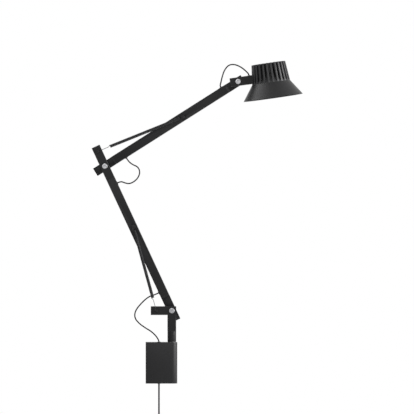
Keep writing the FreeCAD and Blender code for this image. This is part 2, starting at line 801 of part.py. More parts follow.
def shade():
    """Conical shade with an inward flange under the heat sink."""
    slope = (rim_radius - sink_base_radius) / (sink_base - rim_drop)
    skin = shade_wall * math.sqrt(1.0 + slope ** 2)
    inner_top = sink_base_radius + slope * shade_wall - skin
    shell = turned([
        (shade_flange_radius, sink_base), (sink_base_radius, sink_base), (rim_radius, rim_drop),
        (rim_radius - skin, rim_drop), (inner_top, flange_face), (shade_flange_radius, flange_face)])
    hole = round_z(ring_screw_diameter / 2.0 + loose_gap, flange_face, sink_base)
    return on_head_axis(shell.cut(around(hole, screw_count, ring_screw_circle)))


def led_board():
    """Round board with the light source in its middle."""
    disc = round_z(board_radius, board_face, sink_base)
    chip = round_z(reflector_throat - reflector_wall, board_face - shade_wall / 2.0, board_face)
    hole = round_z(board_screw_diameter / 2.0 + running_gap, board_face, sink_base)
    return on_head_axis(disc.fuse(chip).cut(around(hole, screw_count, board_screw_circle)))


def board_screws():
    """Pan-head screws of the light source's board."""
    head = round_z(board_screw_head / 2.0, board_face - board_thickness, board_face)
    shank = round_z(board_screw_diameter / 2.0, board_face, sink_base + board_screw_length)
    return on_head_axis(Part.makeCompound(around(head.fuse(shank), screw_count, board_screw_circle)))


def reflector():
    """Thin cone between the light source and the lens."""
    wide = ring_inner_radius - loose_gap
    low = lens_face + lens_thickness + loose_gap
    high = board_face - shade_wall
    slope = (wide - reflector_throat) / (high - low)
    skin = reflector_wall * math.sqrt(1.0 + slope ** 2)
    return on_head_axis(turned([
        (reflector_throat, high), (wide, low), (wide - skin, low), (reflector_throat, high - skin / slope)]))


def lens():
    """Flat diffusing lens."""
    rim = ring_inner_radius - loose_gap
    back = lens_face + lens_thickness
    return on_head_axis(turned([(0, lens_face), (rim, lens_face), (rim, back), (0, back)]))


def lens_ring():
    """Ring that holds the lens and clamps the shade to the heat sink."""
    ring = turned([
        (ring_inner_radius, flange_face), (ring_outer_radius, flange_face), (ring_outer_radius, ring_face),
        (ring_lip_radius, ring_face), (ring_lip_radius, lens_face), (ring_inner_radius, lens_face)])
    hole = round_z(ring_screw_diameter / 2.0 + running_gap, ring_face, flange_face)
    return on_head_axis(ring.cut(around(hole, screw_count, ring_screw_circle)))


def ring_screws():
    """Long screws through ring and shade into the heat sink."""
    head = round_z(ring_screw_head / 2.0, ring_face - ring_screw_head_height, ring_face)
    shank = round_z(ring_screw_diameter / 2.0, ring_face, sink_base + ring_screw_bite)
    slot = block(
        -ring_screw_head, ring_screw_head, -0.4, 0.4,
        ring_face - ring_screw_head_height, ring_face - ring_screw_head_height / 2.0)
    return on_head_axis(Part.makeCompound(around(head.fuse(shank).cut(slot), screw_count, ring_screw_circle)))


# ---------------------------------------------------------------- leads
coil_turns_in = coil_layer_turns[0]
coil_outer_radius = coil_mean_radius + coil_pitch * coil_turns_in / 2.0
coil_centre = Vec(lead_entry_reach + coil_outer_radius, 0, -coil_drop)
coil_depth = coil_pitch * (len(coil_layer_turns) - 1)


def coil_state(turn):
    """Radius and depth of the coil's line after so many turns."""
    radius = coil_outer_radius
    depth = 0.0
    inward = 1
    left = turn
    for layer, turns in enumerate(coil_layer_turns):
        wound = min(left, turns)
        radius -= inward * coil_pitch * wound
        left -= wound
        if left <= 0 or layer == len(coil_layer_turns) - 1:
            break
        climbed = min(left, 0.5) / 0.5
        depth += coil_pitch * climbed ** 2 * (3.0 - 2.0 * climbed)
        left -= min(left, 0.5)
        inward = -inward
    return radius, depth


def coil_place(turn):
    """Place on the coil's line; it starts at the coil's left, going down."""
    radius, depth = coil_state(turn)
    angle = math.pi + 2.0 * math.pi * turn
    return coil_centre + Vec(radius * math.cos(angle), depth, radius * math.sin(angle))


def supply_coil():
    """The put-away length: one unbroken tube, with its straight tail to the plug."""
    turns = sum(coil_layer_turns) + 0.5 * (len(coil_layer_turns) - 1)
    down = Vec(0, 0, -1)
    first = coil_place(0.0)
    stations = [(first, down), (first + down * supply_diameter, down)]
    shift = down * supply_diameter
    quarters = int(round(turns * 4))
    for quarter in range(1, quarters):
        turn = quarter / 4.0
        step = 0.01
        way = (coil_place(turn + step) - coil_place(turn - step)).normalize()
        stations.append((coil_place(turn) + shift, way))
    last = coil_place(turns)
    stations.append((last + shift, down))
    stations.append((last + down * coil_tail, down))
    edges = wound_edges(stations)
    least_gap("supply_coil", edges, supply_diameter, math.pi * coil_mean_radius / 2.0)
    return swept("supply_coil", edges, supply_diameter)


def supply_cord():
    """The straight hanging stretch below the box."""
    top = -(box_top + grommet_flange)
    return round_z(supply_radius, -coil_drop, top, lead_entry_reach)


def coil_tie():
    """Strap round the bundle at the coil's right."""
    margin = supply_radius + 2.0 * loose_gap
    bore = coil_outer_radius - coil_pitch * coil_turns_in - supply_radius
    inner = coil_centre.x + math.sqrt(bore ** 2 - tie_width ** 2 / 4.0) - 2.0 * loose_gap
    outer = coil_centre.x + coil_outer_radius - coil_pitch / 2.0 + margin
    middle = -coil_drop - supply_diameter
    low = middle - tie_width / 2.0
    high = middle + tie_width / 2.0
    strap = block(
        inner - tie_thickness, outer + tie_thickness,
        -margin - tie_thickness, coil_depth + margin + tie_thickness, low, high)
    return strap.cut(block(inner, outer, -margin, coil_depth + margin, low, high))


def plug_top():
    """Height of the strain relief's small end."""
    return -coil_drop - coil_tail


def plug_relief():
    """Tapered strain relief."""
    return Part.makeCone(
        relief_large_diameter / 2.0, relief_small_diameter / 2.0, relief_length,
        Vec(lead_entry_reach, coil_depth, plug_top() - relief_length))


def plug_body():
    """Round body of the low-voltage plug."""
    high = plug_top() - relief_length
    return round_z(plug_diameter / 2.0, high - plug_length, high, lead_entry_reach, coil_depth)


def plug_barrel():
    """Hollow metal barrel of the plug."""
    high = plug_top() - relief_length - plug_length
    barrel = round_z(barrel_diameter / 2.0, high - barrel_length, high, lead_entry_reach, coil_depth)
    return barrel.cut(round_z(barrel_bore / 2.0, high - barrel_length, high, lead_entry_reach, coil_depth))


def lead_loop(name, points):
    """One free loop of the lamp's lead."""
    return swept(name, routed_edges(name, points), lead_diameter)


# ---------------------------------------------------------------- everything, by node name
def build():
    """All nodes, each at its place."""
    lower = (shoulder, lower_arm_angle)
    upper = (elbow, upper_arm_angle)
    head = (head_pivot, head_angle)
    lower_anchor = local_point(*lower, spring_reach, anchor_across)
    upper_anchor = local_point(*upper, spring_reach, anchor_across)
    nodes = {
        "wall_plate": wall_plate(),
        "wall_box": wall_box(),
        "box_screws": box_screws(),
        "led_driver": led_driver(),
        "box_leads": box_leads(),
        "box_grommets": box_grommets(),
        "post_bushes": post_bushes(),
        "nose_cap": nose_cap(),
        "swivel_bracket": swivel_bracket(),
        "post_screw": post_screw(),
        "lever_pin": placed(spring_pin(spring_pin_head), shoulder - Vec(lever_pin_reach, 0, 0)),
    }
    for name, pivot in (("shoulder", shoulder), ("elbow", elbow), ("head", head_pivot)):
        nodes[name + "_bolt"] = placed(pivot_bolt(), pivot)
        nodes[name + "_nut"] = placed(pivot_nut(), pivot)
        nodes[name + "_washer"] = placed(pivot_washer(), pivot)
        nodes[name + "_bush"] = placed(pivot_bush(), pivot)

    tube_from = shoulder_lap + collar_length
    tube_to = lower_arm_pitch - tail_lap - collar_length
    tail = end_fitting(tail_length, tail_lap, True).cut(pin_hole(-tail_pin_reach))
    nodes["lower_arm_tube"] = placed(arm_tube(tube_from, tube_to, lower_holes), *lower)
    nodes["lower_arm_foot"] = placed(end_fitting(shoulder_stub, shoulder_lap, False), *lower)
    nodes["lower_arm_tail"] = placed(flipped(tail, lower_arm_pitch), *lower)
    nodes["lower_arm_grommets"] = placed(arm_grommets(lower_holes), *lower)
    nodes["lower_arm_lead"] = placed(arm_lead("lower_arm_lead", shoulder_exit, 1, elbow_entry, -1), *lower)
    nodes["lower_anchor_pin"] = placed(spring_pin(anchor_pin_head), lower_anchor)
    tail_pin_place = local_point(*lower, lower_arm_pitch + tail_pin_reach, 0)
    nodes["tail_pin"] = placed(spring_pin(spring_pin_head), tail_pin_place)

    tube_from = elbow_lap + collar_length
    tube_to = upper_arm_pitch - tip_lap - collar_length
    tip = end_fitting(tip_stub, tip_lap, False)
    nodes["upper_arm_tube"] = placed(arm_tube(tube_from, tube_to, upper_holes), *upper)
    nodes["upper_arm_foot"] = placed(end_fitting(elbow_stub, elbow_lap, False), *upper)
    nodes["upper_arm_tip"] = placed(flipped(tip, upper_arm_pitch), *upper)
    nodes["upper_arm_grommets"] = placed(arm_grommets(upper_holes), *upper)
    nodes["upper_arm_lead"] = placed(arm_lead("upper_arm_lead", elbow_exit, -1, tip_exit, 1), *upper)
    nodes["upper_anchor_pin"] = placed(spring_pin(anchor_pin_head), upper_anchor)

    in_front = Vec(0, spring_y, 0)
    lever_hook = shoulder - Vec(lever_pin_reach, 0, 0) + in_front
    nodes["lower_spring"] = spring(
        "lower_spring", lever_hook, lower_anchor + in_front)
    nodes["upper_spring"] = spring(
        "upper_spring", tail_pin_place + in_front, upper_anchor + in_front)

    bracket_ring = wall_grommet(half_bar, tube_wall, bracket_entry, 1, lead_radius)
    for name, shape in (
            ("head_bracket", head_bracket()), ("bracket_grommet", bracket_ring),
            ("bracket_grub", bracket_grub()), ("head_lead", head_lead()),
            ("heat_sink", heat_sink()), ("shade", shade()),
            ("led_board", led_board()), ("board_screws", board_screws()), ("reflector", reflector()),
            ("lens", lens()), ("lens_ring", lens_ring()), ("ring_screws", ring_screws())):
        nodes[name] = placed(shape, *head)

    box_exit = Vec(lead_entry_reach, 0, box_top + grommet_flange)
    shoulder_end = local_point(*lower, shoulder_exit, grommet_face)
    elbow_start = local_point(*upper, elbow_exit, -grommet_face)
    elbow_end = local_point(*lower, elbow_entry, -grommet_face)
    head_start = local_point(*upper, tip_exit, grommet_face)
    head_end = local_point(*head, bracket_entry, grommet_face)
    nodes["shoulder_loop_low"] = lead_loop(
        "shoulder_loop_low",
        [box_exit] + in_plane(box_exit, [box_exit_bend]) + in_plane(shoulder, shoulder_route_low))
    nodes["shoulder_loop_high"] = lead_loop(
        "shoulder_loop_high", in_plane(shoulder, shoulder_route_high) + [shoulder_end])
    nodes["elbow_loop"] = lead_loop("elbow_loop", [elbow_start] + in_plane(elbow, elbow_route) + [elbow_end])
    nodes["head_loop"] = lead_loop("head_loop", [head_start] + in_plane(head_pivot, head_route) + [head_end])

    nodes["supply_cord"] = supply_cord()
    nodes["supply_coil"] = supply_coil()
    nodes["coil_tie"] = coil_tie()
    nodes["plug_relief"] = plug_relief()
    nodes["plug_body"] = plug_body()
    nodes["plug_barrel"] = plug_barrel()
    return nodes


def main():
    """Builds, reports and writes every node."""
    os.makedirs("parts", exist_ok=True)
    nodes = build()
    for name in sorted(nodes):
        shape = nodes[name]
        bounds = shape.BoundBox
        print("%-20s solids %d volume %9.1f valid %s z %.1f..%.1f" % (
            name, len(shape.Solids), shape.Volume, shape.isValid(), bounds.ZMin, bounds.ZMax))
        shape.exportStep("parts/%s.step" % name)
    print(len(nodes), "nodes")


main()
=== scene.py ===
"""Articulating wall lamp, dressed for rendering.

Every length is in metres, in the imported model's own frame: X away from the wall, Z up, Y across the wall.
The origin is on the wall face, at the middle of the wall box. The lamp is black powder coat over square bars,
with blackened springs, satin pivot bolts and a thin rubber lead.
"""
import logging
import math
from dataclasses import dataclass, field
from enum import Enum

import bmesh
import bpy
from mathutils import Matrix, Vector


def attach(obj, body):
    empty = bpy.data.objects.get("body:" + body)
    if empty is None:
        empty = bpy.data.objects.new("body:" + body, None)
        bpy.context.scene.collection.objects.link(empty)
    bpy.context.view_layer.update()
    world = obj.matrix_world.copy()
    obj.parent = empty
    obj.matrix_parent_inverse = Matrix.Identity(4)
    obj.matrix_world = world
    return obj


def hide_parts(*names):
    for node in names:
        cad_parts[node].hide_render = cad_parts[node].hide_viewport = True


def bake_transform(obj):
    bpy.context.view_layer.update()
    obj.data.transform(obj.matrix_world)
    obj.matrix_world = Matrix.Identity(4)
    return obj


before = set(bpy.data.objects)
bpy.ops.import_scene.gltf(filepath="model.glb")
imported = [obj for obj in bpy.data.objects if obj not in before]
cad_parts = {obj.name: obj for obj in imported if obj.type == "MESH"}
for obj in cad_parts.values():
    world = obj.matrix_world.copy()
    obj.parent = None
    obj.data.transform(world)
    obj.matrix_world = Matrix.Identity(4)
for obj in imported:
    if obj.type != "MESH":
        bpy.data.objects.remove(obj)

log = logging.getLogger("wall_lamp")

Colour = tuple[float, float, float]
Place = tuple[float, float, float]
Route = tuple[tuple[float, float], ...]
Feed = bpy.types.NodeSocket | float | tuple[float, ...]

RUB = "rub"                     # face attribute: 1 on broken edges and narrow roundings
RIGHT_ANGLE = math.radians(90.0)
PLAIN_SPECULAR = 0.5            # the shader's own level, for metals, the lens and the floor


# ---------------------------------------------------------------- names
class Body(Enum):
    """The lamp's moving bodies."""

    WALL = "wall_mount"
    SWIVEL = "swivel"
    LOWER_ARM = "lower_arm"
    UPPER_ARM = "upper_arm"
    HEAD = "head"


class Slot(Enum):
    """Names of the lamp's material slots; no piece here is given one."""

    COAT = "black_paint"
    SHADE = "shade_paint"
    PLATE = "plate_steel"
    DARK = "dark_steel"
    BOLT = "bolt_steel"
    BEARING = "bearing_plastic"
    SPRING = "spring_steel"
    SHEATH = "lead_sheath"
    PLASTIC = "black_plastic"


class MixOf(Enum):
    """What a mix node mixes."""

    NUMBERS = "FLOAT"
    COLOURS = "RGBA"


class Pairing(Enum):
    """How a math node makes one number of two."""

    PRODUCT = "MULTIPLY"
    LARGER = "MAXIMUM"


# ---------------------------------------------------------------- layout
@dataclass(frozen=True)
class Layout:
    """The lamp's pivots and the places along its arms.

    Attributes:
        lower_angle: Lower arm, in degrees from +X turning up.
        upper_angle: Upper arm, likewise.
        head_angle: Head bracket, likewise.
        shoulder_x: Wall face to the post's axis.
        shoulder_z: Height of the shoulder pivot.
        lower_pitch: Shoulder to elbow.
        upper_pitch: Elbow to head pivot.
        half_bar: Half the width of the square bars.
    """

    lower_angle: float = 114.9
    upper_angle: float = 32.4
    head_angle: float = 8.1
    shoulder_x: float = 0.060
    shoulder_z: float = 0.120
    lower_pitch: float = 0.366
    upper_pitch: float = 0.363
    half_bar: float = 0.010

    @staticmethod
    def heading(angle: float) -> Vector:
        """The unit vector in the arms' plane at an angle in degrees."""
        return Vector((math.cos(math.radians(angle)), 0.0, math.sin(math.radians(angle))))

    @property
    def shoulder(self) -> Vector:
        """The shoulder pivot."""
        return Vector((self.shoulder_x, 0.0, self.shoulder_z))

    @property
    def elbow(self) -> Vector:
        """The elbow pivot."""
        return self.shoulder + self.heading(self.lower_angle) * self.lower_pitch

    @property
    def head(self) -> Vector:
        """The head pivot."""
        return self.elbow + self.heading(self.upper_angle) * self.upper_pitch

    def place(self, pivot: Vector, angle: float, along: float, across: float, deep: float = 0.0) -> Vector:
        """A place given in a turned piece's own directions.

        Args:
            pivot: The piece's pivot.
            angle: The piece's angle in degrees.
            along: Distance along the piece.
            across: Distance to its upper left side.
            deep: Distance along Y.

        Returns:
            The place in the lamp's frame.
        """
        place = pivot + self.heading(angle) * along
        place += self.heading(angle + 90.0) * across
        return place + Vector((0.0, deep, 0.0))


# ---------------------------------------------------------------- node trees
class Tree:
    """A shader node tree, with short ways to add nodes and to join them."""

    def __init__(self, tree: bpy.types.NodeTree) -> None:
        """Takes the tree that the nodes go in."""
        self.nodes = tree.nodes
        self.links = tree.links

    def feed(self, entry: bpy.types.NodeSocket, value: Feed) -> None:
        """Joins a socket to an input, or sets the input to a plain value.

        Args:
            entry: The input.
            value: The socket or the plain value.
        """
        if isinstance(value, bpy.types.NodeSocket):
            self.links.new(value, entry)
        else:
            entry.default_value = value

    def add(self, kind: str, **values: Feed) -> bpy.types.Node:
        """Adds a node and feeds its inputs.

        Args:
            kind: The node's kind, without the ShaderNode that every kind starts with.
            **values: What its inputs get, by name, with _ for a space.

        Returns:
            The node.
        """
        node = self.nodes.new("ShaderNode" + kind)
        for label, value in values.items():
            self.feed(node.inputs[label.replace("_", " ")], value)
        return node

    def noise(self, vector: Feed, scale: Feed, **values: Feed) -> bpy.types.NodeSocket:
        """The value of a new noise, with any other inputs of its node by name."""
        return self.add("TexNoise", Vector=vector, Scale=scale, **values).outputs["Fac"]

    def spread(
            self, value: Feed, low: float, high: float, to_low: Feed = 0.0, to_high: Feed = 1.0
            ) -> bpy.types.NodeSocket:
        """A value mapped from one range to another, and held to it.

        Args:
            value: The value.
            low: Start of its range.
            high: End of its range.
            to_low: What it is at the start.
            to_high: What it is at the end.

        Returns:
            The mapped value.
        """
        ends = {"From_Min": low, "From_Max": high, "To_Min": to_low, "To_Max": to_high}
        return self.add("MapRange", Value=value, **ends).outputs["Result"]

    def paired(self, how: Pairing, first: Feed, second: Feed) -> bpy.types.NodeSocket:
        """One number made of two.

        Args:
            how: How it is made.
            first: The first number.
            second: The second number.

        Returns:
            The number.
        """
        node = self.add("Math")
        node.operation = how.value
        self.feed(node.inputs[0], first)
        self.feed(node.inputs[1], second)
        return node.outputs["Value"]

    def mixed(self, what: MixOf, mask: Feed, under: Feed, over: Feed) -> bpy.types.NodeSocket:
        """Two numbers or colours mixed by a mask.

        Args:
            what: What is mixed.
            mask: Where the second one shows.
            under: The first one.
            over: The second one.

        Returns:
            The mix.
        """
        node = self.add("Mix")
        node.data_type = what.value
        for label, value in (("Factor", mask), ("A", under), ("B", over)):
            self.feed(node.inputs[label], value)
        return node.outputs["Result"]


class EffectGroup(Tree):
    """A shared effect: a node group with named inputs and one output."""

    def __init__(self, name: str, vectors: tuple[str, ...], numbers: dict[str, float], output: str) -> None:
        """Makes the group and its sockets.

        Args:
            name: The group's name.
            vectors: Names of the vectors that it reads.
            numbers: Names of the numbers that it reads, with what each is where nothing feeds it.
            output: Name of its output.
        """
        self.group = bpy.data.node_groups.new(name, "ShaderNodeTree")
        super().__init__(self.group)
        sockets = self.group.interface
        for label in vectors:
            sockets.new_socket(name=label, in_out="INPUT", socket_type="NodeSocketVector")
        for label, value in numbers.items():
            number = sockets.new_socket(name=label, in_out="INPUT", socket_type="NodeSocketFloat")
            number.default_value = value
        sockets.new_socket(name=output, in_out="OUTPUT", socket_type="NodeSocketFloat")
        self.entry = self.nodes.new("NodeGroupInput")
        self.exit = self.nodes.new("NodeGroupOutput")

    def given(self, label: str) -> bpy.types.NodeSocket:
        """What one of the group's inputs brings in."""
        return self.entry.outputs[label]

    def finished(self, result: bpy.types.NodeSocket) -> bpy.types.NodeTree:
        """The whole group, once it puts out its result."""
        self.feed(self.exit.inputs[0], result)
        return self.group


class Effects:
    """Node groups that several finishes use, each built once."""

    def __init__(self) -> None:
        """Builds the groups."""
        self.grain = self._grain()
        self.marks = self._marks()
        self.dust = self._dust()
        self.wear = self._wear()

    @staticmethod
    def _grain() -> bpy.types.NodeTree:
        """Orange-peel and pin-point grain of a sprayed or moulded surface.

        Returns:
            The group.
        """
        group = EffectGroup("surface_grain", ("Vector",), {"Scale": 2000.0, "Peel": 0.5}, "Height")
        coarser = 0.28
        fine = group.noise(group.given("Vector"), group.given("Scale"), Detail=3.0)
        peel_scale = group.paired(Pairing.PRODUCT, group.given("Scale"), coarser)
        peel = group.noise(group.given("Vector"), peel_scale, Detail=1.0)
        return group.finished(group.mixed(MixOf.NUMBERS, group.given("Peel"), fine, peel))

    @staticmethod
    def _marks() -> bpy.types.NodeTree:
        """Roughness that drifts where a surface has been handled and wiped.

        Returns:
            The group.
        """
        numbers = {"Scale": 25.0, "Low": 0.35, "High": 0.5}
        group = EffectGroup("handling_marks", ("Vector",), numbers, "Roughness")
        smear = group.noise(group.given("Vector"), group.given("Scale"), Detail=5.0, Distortion=0.6)
        drift = group.spread(
            smear, low=0.35, high=0.7, to_low=group.given("Low"), to_high=group.given("High"))
        return group.finished(drift)

    @staticmethod
    def _dust() -> bpy.types.NodeTree:
        """A mask of the little dust that settles on faces that look up.

        Returns:
            The group.
        """
        group = EffectGroup("settled_dust", ("Vector", "Normal"), {"Scale": 300.0, "Amount": 0.05}, "Mask")
        apart = group.add("SeparateXYZ", Vector=group.given("Normal"))
        facing = group.spread(apart.outputs["Z"], low=0.3, high=1.0)
        speck = group.noise(group.given("Vector"), group.given("Scale"), Detail=6.0)
        speckled = group.paired(Pairing.PRODUCT, facing, speck)
        return group.finished(group.paired(Pairing.PRODUCT, speckled, group.given("Amount")))

    @staticmethod
    def _wear() -> bpy.types.NodeTree:
        """A patchy mask of the rubbing along edges.

        Returns:
            The group.
        """
        numbers = {"Rub": 0.0, "Scale": 140.0, "Amount": 0.6}
        group = EffectGroup("edge_wear", ("Vector",), numbers, "Mask")
        cloud = group.noise(group.given("Vector"), group.given("Scale"), Detail=6.0, Roughness=0.65)
        patches = group.spread(cloud, low=0.36, high=0.66)
        rubbed = group.paired(Pairing.PRODUCT, patches, group.given("Rub"))
        return group.finished(group.paired(Pairing.PRODUCT, rubbed, group.given("Amount")))


effects = Effects()


class Surface(Tree):
    """A material in the making: its node tree, with the effects placed in it."""

    def __init__(self, name: str, roughness: float, specular: float, metallic: float = 0.0) -> None:
        """Starts a material.

        Args:
            name: The material's name.
            roughness: Roughness where nothing drives it.
            specular: The shader's own specular level.
            metallic: The shader's own metallic value.
        """
        self.material = bpy.data.materials.new(name)
        self.material.use_nodes = True
        super().__init__(self.material.node_tree)
        self.shader = self.nodes["Principled BSDF"]
        self.drive("Roughness", roughness)
        self.drive("Specular IOR Level", specular)
        self.drive("Metallic", metallic)
        self.coordinates = self.add("TexCoord").outputs["Object"]

    def drive(self, label: str, value: Feed) -> None:
        """Feeds one of the shader's inputs."""
        self.feed(self.shader.inputs[label], value)

    def centred(self, centre: Place, tilt: float = 0.0) -> bpy.types.NodeSocket:
        """Object coordinates counted from a place and turned about Y.

        Args:
            centre: The place that becomes the zero.
            tilt: The turn in degrees.

        Returns:
            The coordinates.
        """
        shift = self.add("VectorMath")
        shift.operation = "SUBTRACT"
        self.feed(shift.inputs[0], self.coordinates)
        self.feed(shift.inputs[1], centre)
        turn = (0.0, math.radians(tilt), 0.0)
        return self.add("Mapping", Vector=shift.outputs["Vector"], Rotation=turn).outputs["Vector"]

    def stretched(self, share: Place) -> bpy.types.NodeSocket:
        """Object coordinates for a pattern that isn't equally large along all axes.

        Args:
            share: Its size along X, Y and Z, as shares of its usual size.

        Returns:
            The coordinates.
        """
        mapping = self.add("Mapping", Vector=self.coordinates)
        mapping.vector_type = "TEXTURE"
        mapping.inputs["Scale"].default_value = share
        return mapping.outputs["Vector"]

    def effect(self, group: bpy.types.NodeTree, **values: Feed) -> bpy.types.NodeSocket:
        """Places a shared effect.

        Args:
            group: The effect.
            **values: What its inputs get, by name.

        Returns:
            What it puts out.
        """
        node = self.add("Group")
        node.node_tree = group
        for label, value in values.items():
            self.feed(node.inputs[label], value)
        return node.outputs[0]

    def relief(self, height: bpy.types.NodeSocket, strength: float, depth: float) -> None:
        """Lets the surface rise and sink in the light.

        Args:
            height: The height.
            strength: How much of it shows.
            depth: How deep it is.
        """
        bump = self.add("Bump", Strength=strength, Distance=depth, Height=height)
        self.drive("Normal", bump.outputs["Normal"])

    def tint(self, mask: bpy.types.NodeSocket, under: Colour, over: Colour) -> None:
        """Gives the surface two colours, the second one where the mask says."""
        self.drive("Base Color", self.mixed(MixOf.COLOURS, mask, (*under, 1.0), (*over, 1.0)))

    def dusted(self, scale: float, amount: float, clean: Colour, dust: Colour) -> None:
        """Gives the surface its colour, with a little dust where it looks up.

        Args:
            scale: Scale of the specks.
            amount: How much of the dust shows.
            clean: The surface's colour.
            dust: The dust's colour.
        """
        normal = self.add("NewGeometry").outputs["Normal"]
        mask = self.effect(
            effects.dust, Vector=self.coordinates, Normal=normal, Scale=scale, Amount=amount)
        self.tint(mask, clean, dust)

    def worn(self, scale: float, amount: float, bare: Colour) -> None:
        """Shows a paler tone in patches along rubbed edges, over the colour that is there.

        Args:
            scale: Scale of the patches.
            amount: How much of the paler tone shows in them.
            bare: The paler tone.
        """
        rub = self.add("Attribute")
        rub.attribute_name = RUB
        patches = self.effect(
            effects.wear, Vector=self.coordinates, Rub=rub.outputs["Fac"], Scale=scale, Amount=amount)
        under = self.shader.inputs["Base Color"].links[0].from_socket
        self.drive("Base Color", self.mixed(MixOf.COLOURS, patches, under, (*bare, 1.0)))

    def handled(self, vector: bpy.types.NodeSocket, scale: float, low: float, high: float) -> None:
        """Lets the roughness drift from handling.

        Args:
            vector: The coordinates.
            scale: Scale of the marks.
            low: The smoothest that it gets.
            high: The roughest.
        """
        marks = self.effect(effects.marks, Vector=vector, Scale=scale, Low=low, High=high)
        self.drive("Roughness", marks)

    def grained(self, scale: float, peel: float, strength: float, depth: float) -> None:
        """Gives the surface the grain of a coat or a moulding.

        Args:
            scale: Scale of the grain.
            peel: Share of the coarser peel in it.
            strength: How much of it shows.
            depth: How deep it is.
        """
        grain = self.effect(effects.grain, Vector=self.coordinates, Scale=scale, Peel=peel)
        self.relief(grain, strength, depth)


# ---------------------------------------------------------------- finishes
@dataclass(frozen=True)
class CoatedMetal:
    """Satin powder coat with a fine peel, handling marks, worn edges and a trace of dust on top."""

    name: str
    colour: Colour = (0.0112, 0.0112, 0.0118)
    low: float = 0.36
    high: float = 0.46
    marks_scale: float = 22.0
    specular: float = 0.16
    grain: float = 1700.0
    peel: float = 0.55
    strength: float = 0.35
    depth: float = 0.00002
    dust: Colour = (0.16, 0.155, 0.145)
    dust_scale: float = 240.0
    dust_amount: float = 0.08
    bare: Colour = (0.075, 0.075, 0.077)
    wear_scale: float = 140.0
    wear_amount: float = 0.75

    def build(self) -> bpy.types.Material:
        """Makes the material.

        Returns:
            The material.
        """
        surface = Surface(self.name, self.low, self.specular)
        surface.dusted(self.dust_scale, self.dust_amount, self.colour, self.dust)
        surface.worn(self.wear_scale, self.wear_amount, self.bare)
        surface.handled(surface.coordinates, self.marks_scale, self.low, self.high)
        surface.grained(self.grain, self.peel, self.strength, self.depth)
        return surface.material


@dataclass(frozen=True)
class TurnedSteel:
    """Satin steel with fine rings round its own axis, as a lathe leaves them."""

    name: str
    centre: Place
    colour: Colour = (0.33, 0.33, 0.338)
    darker: Colour = (0.235, 0.235, 0.242)
    roughness: float = 0.34
    smoother: float = 0.06
    rougher: float = 0.1
    marks_scale: float = 300.0
    ring: float = 1400.0
    waver: float = 1.5
    strength: float = 0.25
    depth: float = 0.00002

    def build(self) -> bpy.types.Material:
        """Makes the material.

        Returns:
            The material.
        """
        surface = Surface(self.name, self.roughness, PLAIN_SPECULAR, 1.0)
        where = surface.centred(self.centre)
        rings = surface.add("TexWave", Vector=where, Scale=self.ring, Distortion=self.waver, Detail=2.0)
        rings.wave_type = "RINGS"
        rings.rings_direction = "Y"
        surface.tint(rings.outputs["Fac"], self.colour, self.darker)
        surface.handled(
            where, self.marks_scale, self.roughness - self.smoother, self.roughness + self.rougher)
        surface.relief(rings.outputs["Fac"], self.strength, self.depth)
        return surface.material


@dataclass(frozen=True)
class Wire:
    """Blackened steel wire or pin, with a fine grain and rubbed high spots."""

    name: str
    colour: Colour = (0.024, 0.024, 0.025)
    rubbed: Colour = (0.08, 0.08, 0.08)
    spot_scale: float = 420.0
    spot_from: float = 0.55
    spot_to: float = 0.8
    wear_scale: float = 300.0
    wear_amount: float = 0.8
    roughness: float = 0.44
    smoother: float = 0.05
    rougher: float = 0.12
    marks_scale: float = 90.0
    specular: float = 0.1
    grain: float = 4200.0
    peel: float = 0.2
    strength: float = 0.3
    depth: float = 0.00001

    def build(self) -> bpy.types.Material:
        """Makes the material.

        Returns:
            The material.
        """
        surface = Surface(self.name, self.roughness, self.specular)
        where = surface.coordinates
        cloud = surface.noise(where, self.spot_scale, Detail=5.0)
        surface.tint(surface.spread(cloud, self.spot_from, self.spot_to), self.colour, self.rubbed)
        surface.worn(self.wear_scale, self.wear_amount, self.rubbed)
        surface.handled(
            where, self.marks_scale, self.roughness - self.smoother, self.roughness + self.rougher)
        surface.grained(self.grain, self.peel, self.strength, self.depth)
        return surface.material


@dataclass(frozen=True)
class Moulded:
    """Moulded rubber or plastic with a fine even texture and a little dust."""

    name: str
    colour: Colour
    dust: Colour
    dust_scale: float = 320.0
    dust_amount: float = 0.25
    roughness: float = 0.55
    smoother: float = 0.06
    rougher: float = 0.08
    marks_scale: float = 40.0
    specular: float = 0.4
    grain: float = 2600.0
    peel: float = 0.3
    strength: float = 0.5
    depth: float = 0.00003

    def build(self) -> bpy.types.Material:
        """Makes the material.

        Returns:
            The material.
        """
        surface = Surface(self.name, self.roughness, self.specular)
        surface.dusted(self.dust_scale, self.dust_amount, self.colour, self.dust)
        low = self.roughness - self.smoother
        surface.handled(surface.coordinates, self.marks_scale, low, self.roughness + self.rougher)
        surface.grained(self.grain, self.peel, self.strength, self.depth)
        return surface.material


@dataclass(frozen=True)
class Diffuser:
    """Opal lens with a fine prismatic texture."""

    name: str
    centre: Place
    tilt: float
    colour: Colour = (0.84, 0.84, 0.81)
    valley: Colour = (0.72, 0.72, 0.69)
    prism: float = 620.0
    strength: float = 0.5
    depth: float = 0.0004
    roughness: float = 0.32
    low: float = 0.26
    high: float = 0.4
    marks_scale: float = 60.0
    milkiness: float = 0.25
    milk_depth: float = 0.003

    def build(self) -> bpy.types.Material:
        """Makes the material.

        Returns:
            The material.
        """
        surface = Surface(self.name, self.roughness, PLAIN_SPECULAR)
        where = surface.centred(self.centre, self.tilt)
        prisms = surface.add("TexVoronoi", Vector=where, Scale=self.prism).outputs["Distance"]
        surface.tint(prisms, self.colour, self.valley)
        surface.handled(where, self.marks_scale, self.low, self.high)
        surface.relief(prisms, self.strength, self.depth)
        surface.drive("Subsurface Weight", self.milkiness)
        surface.drive("Subsurface Scale", self.milk_depth)
        return surface.material


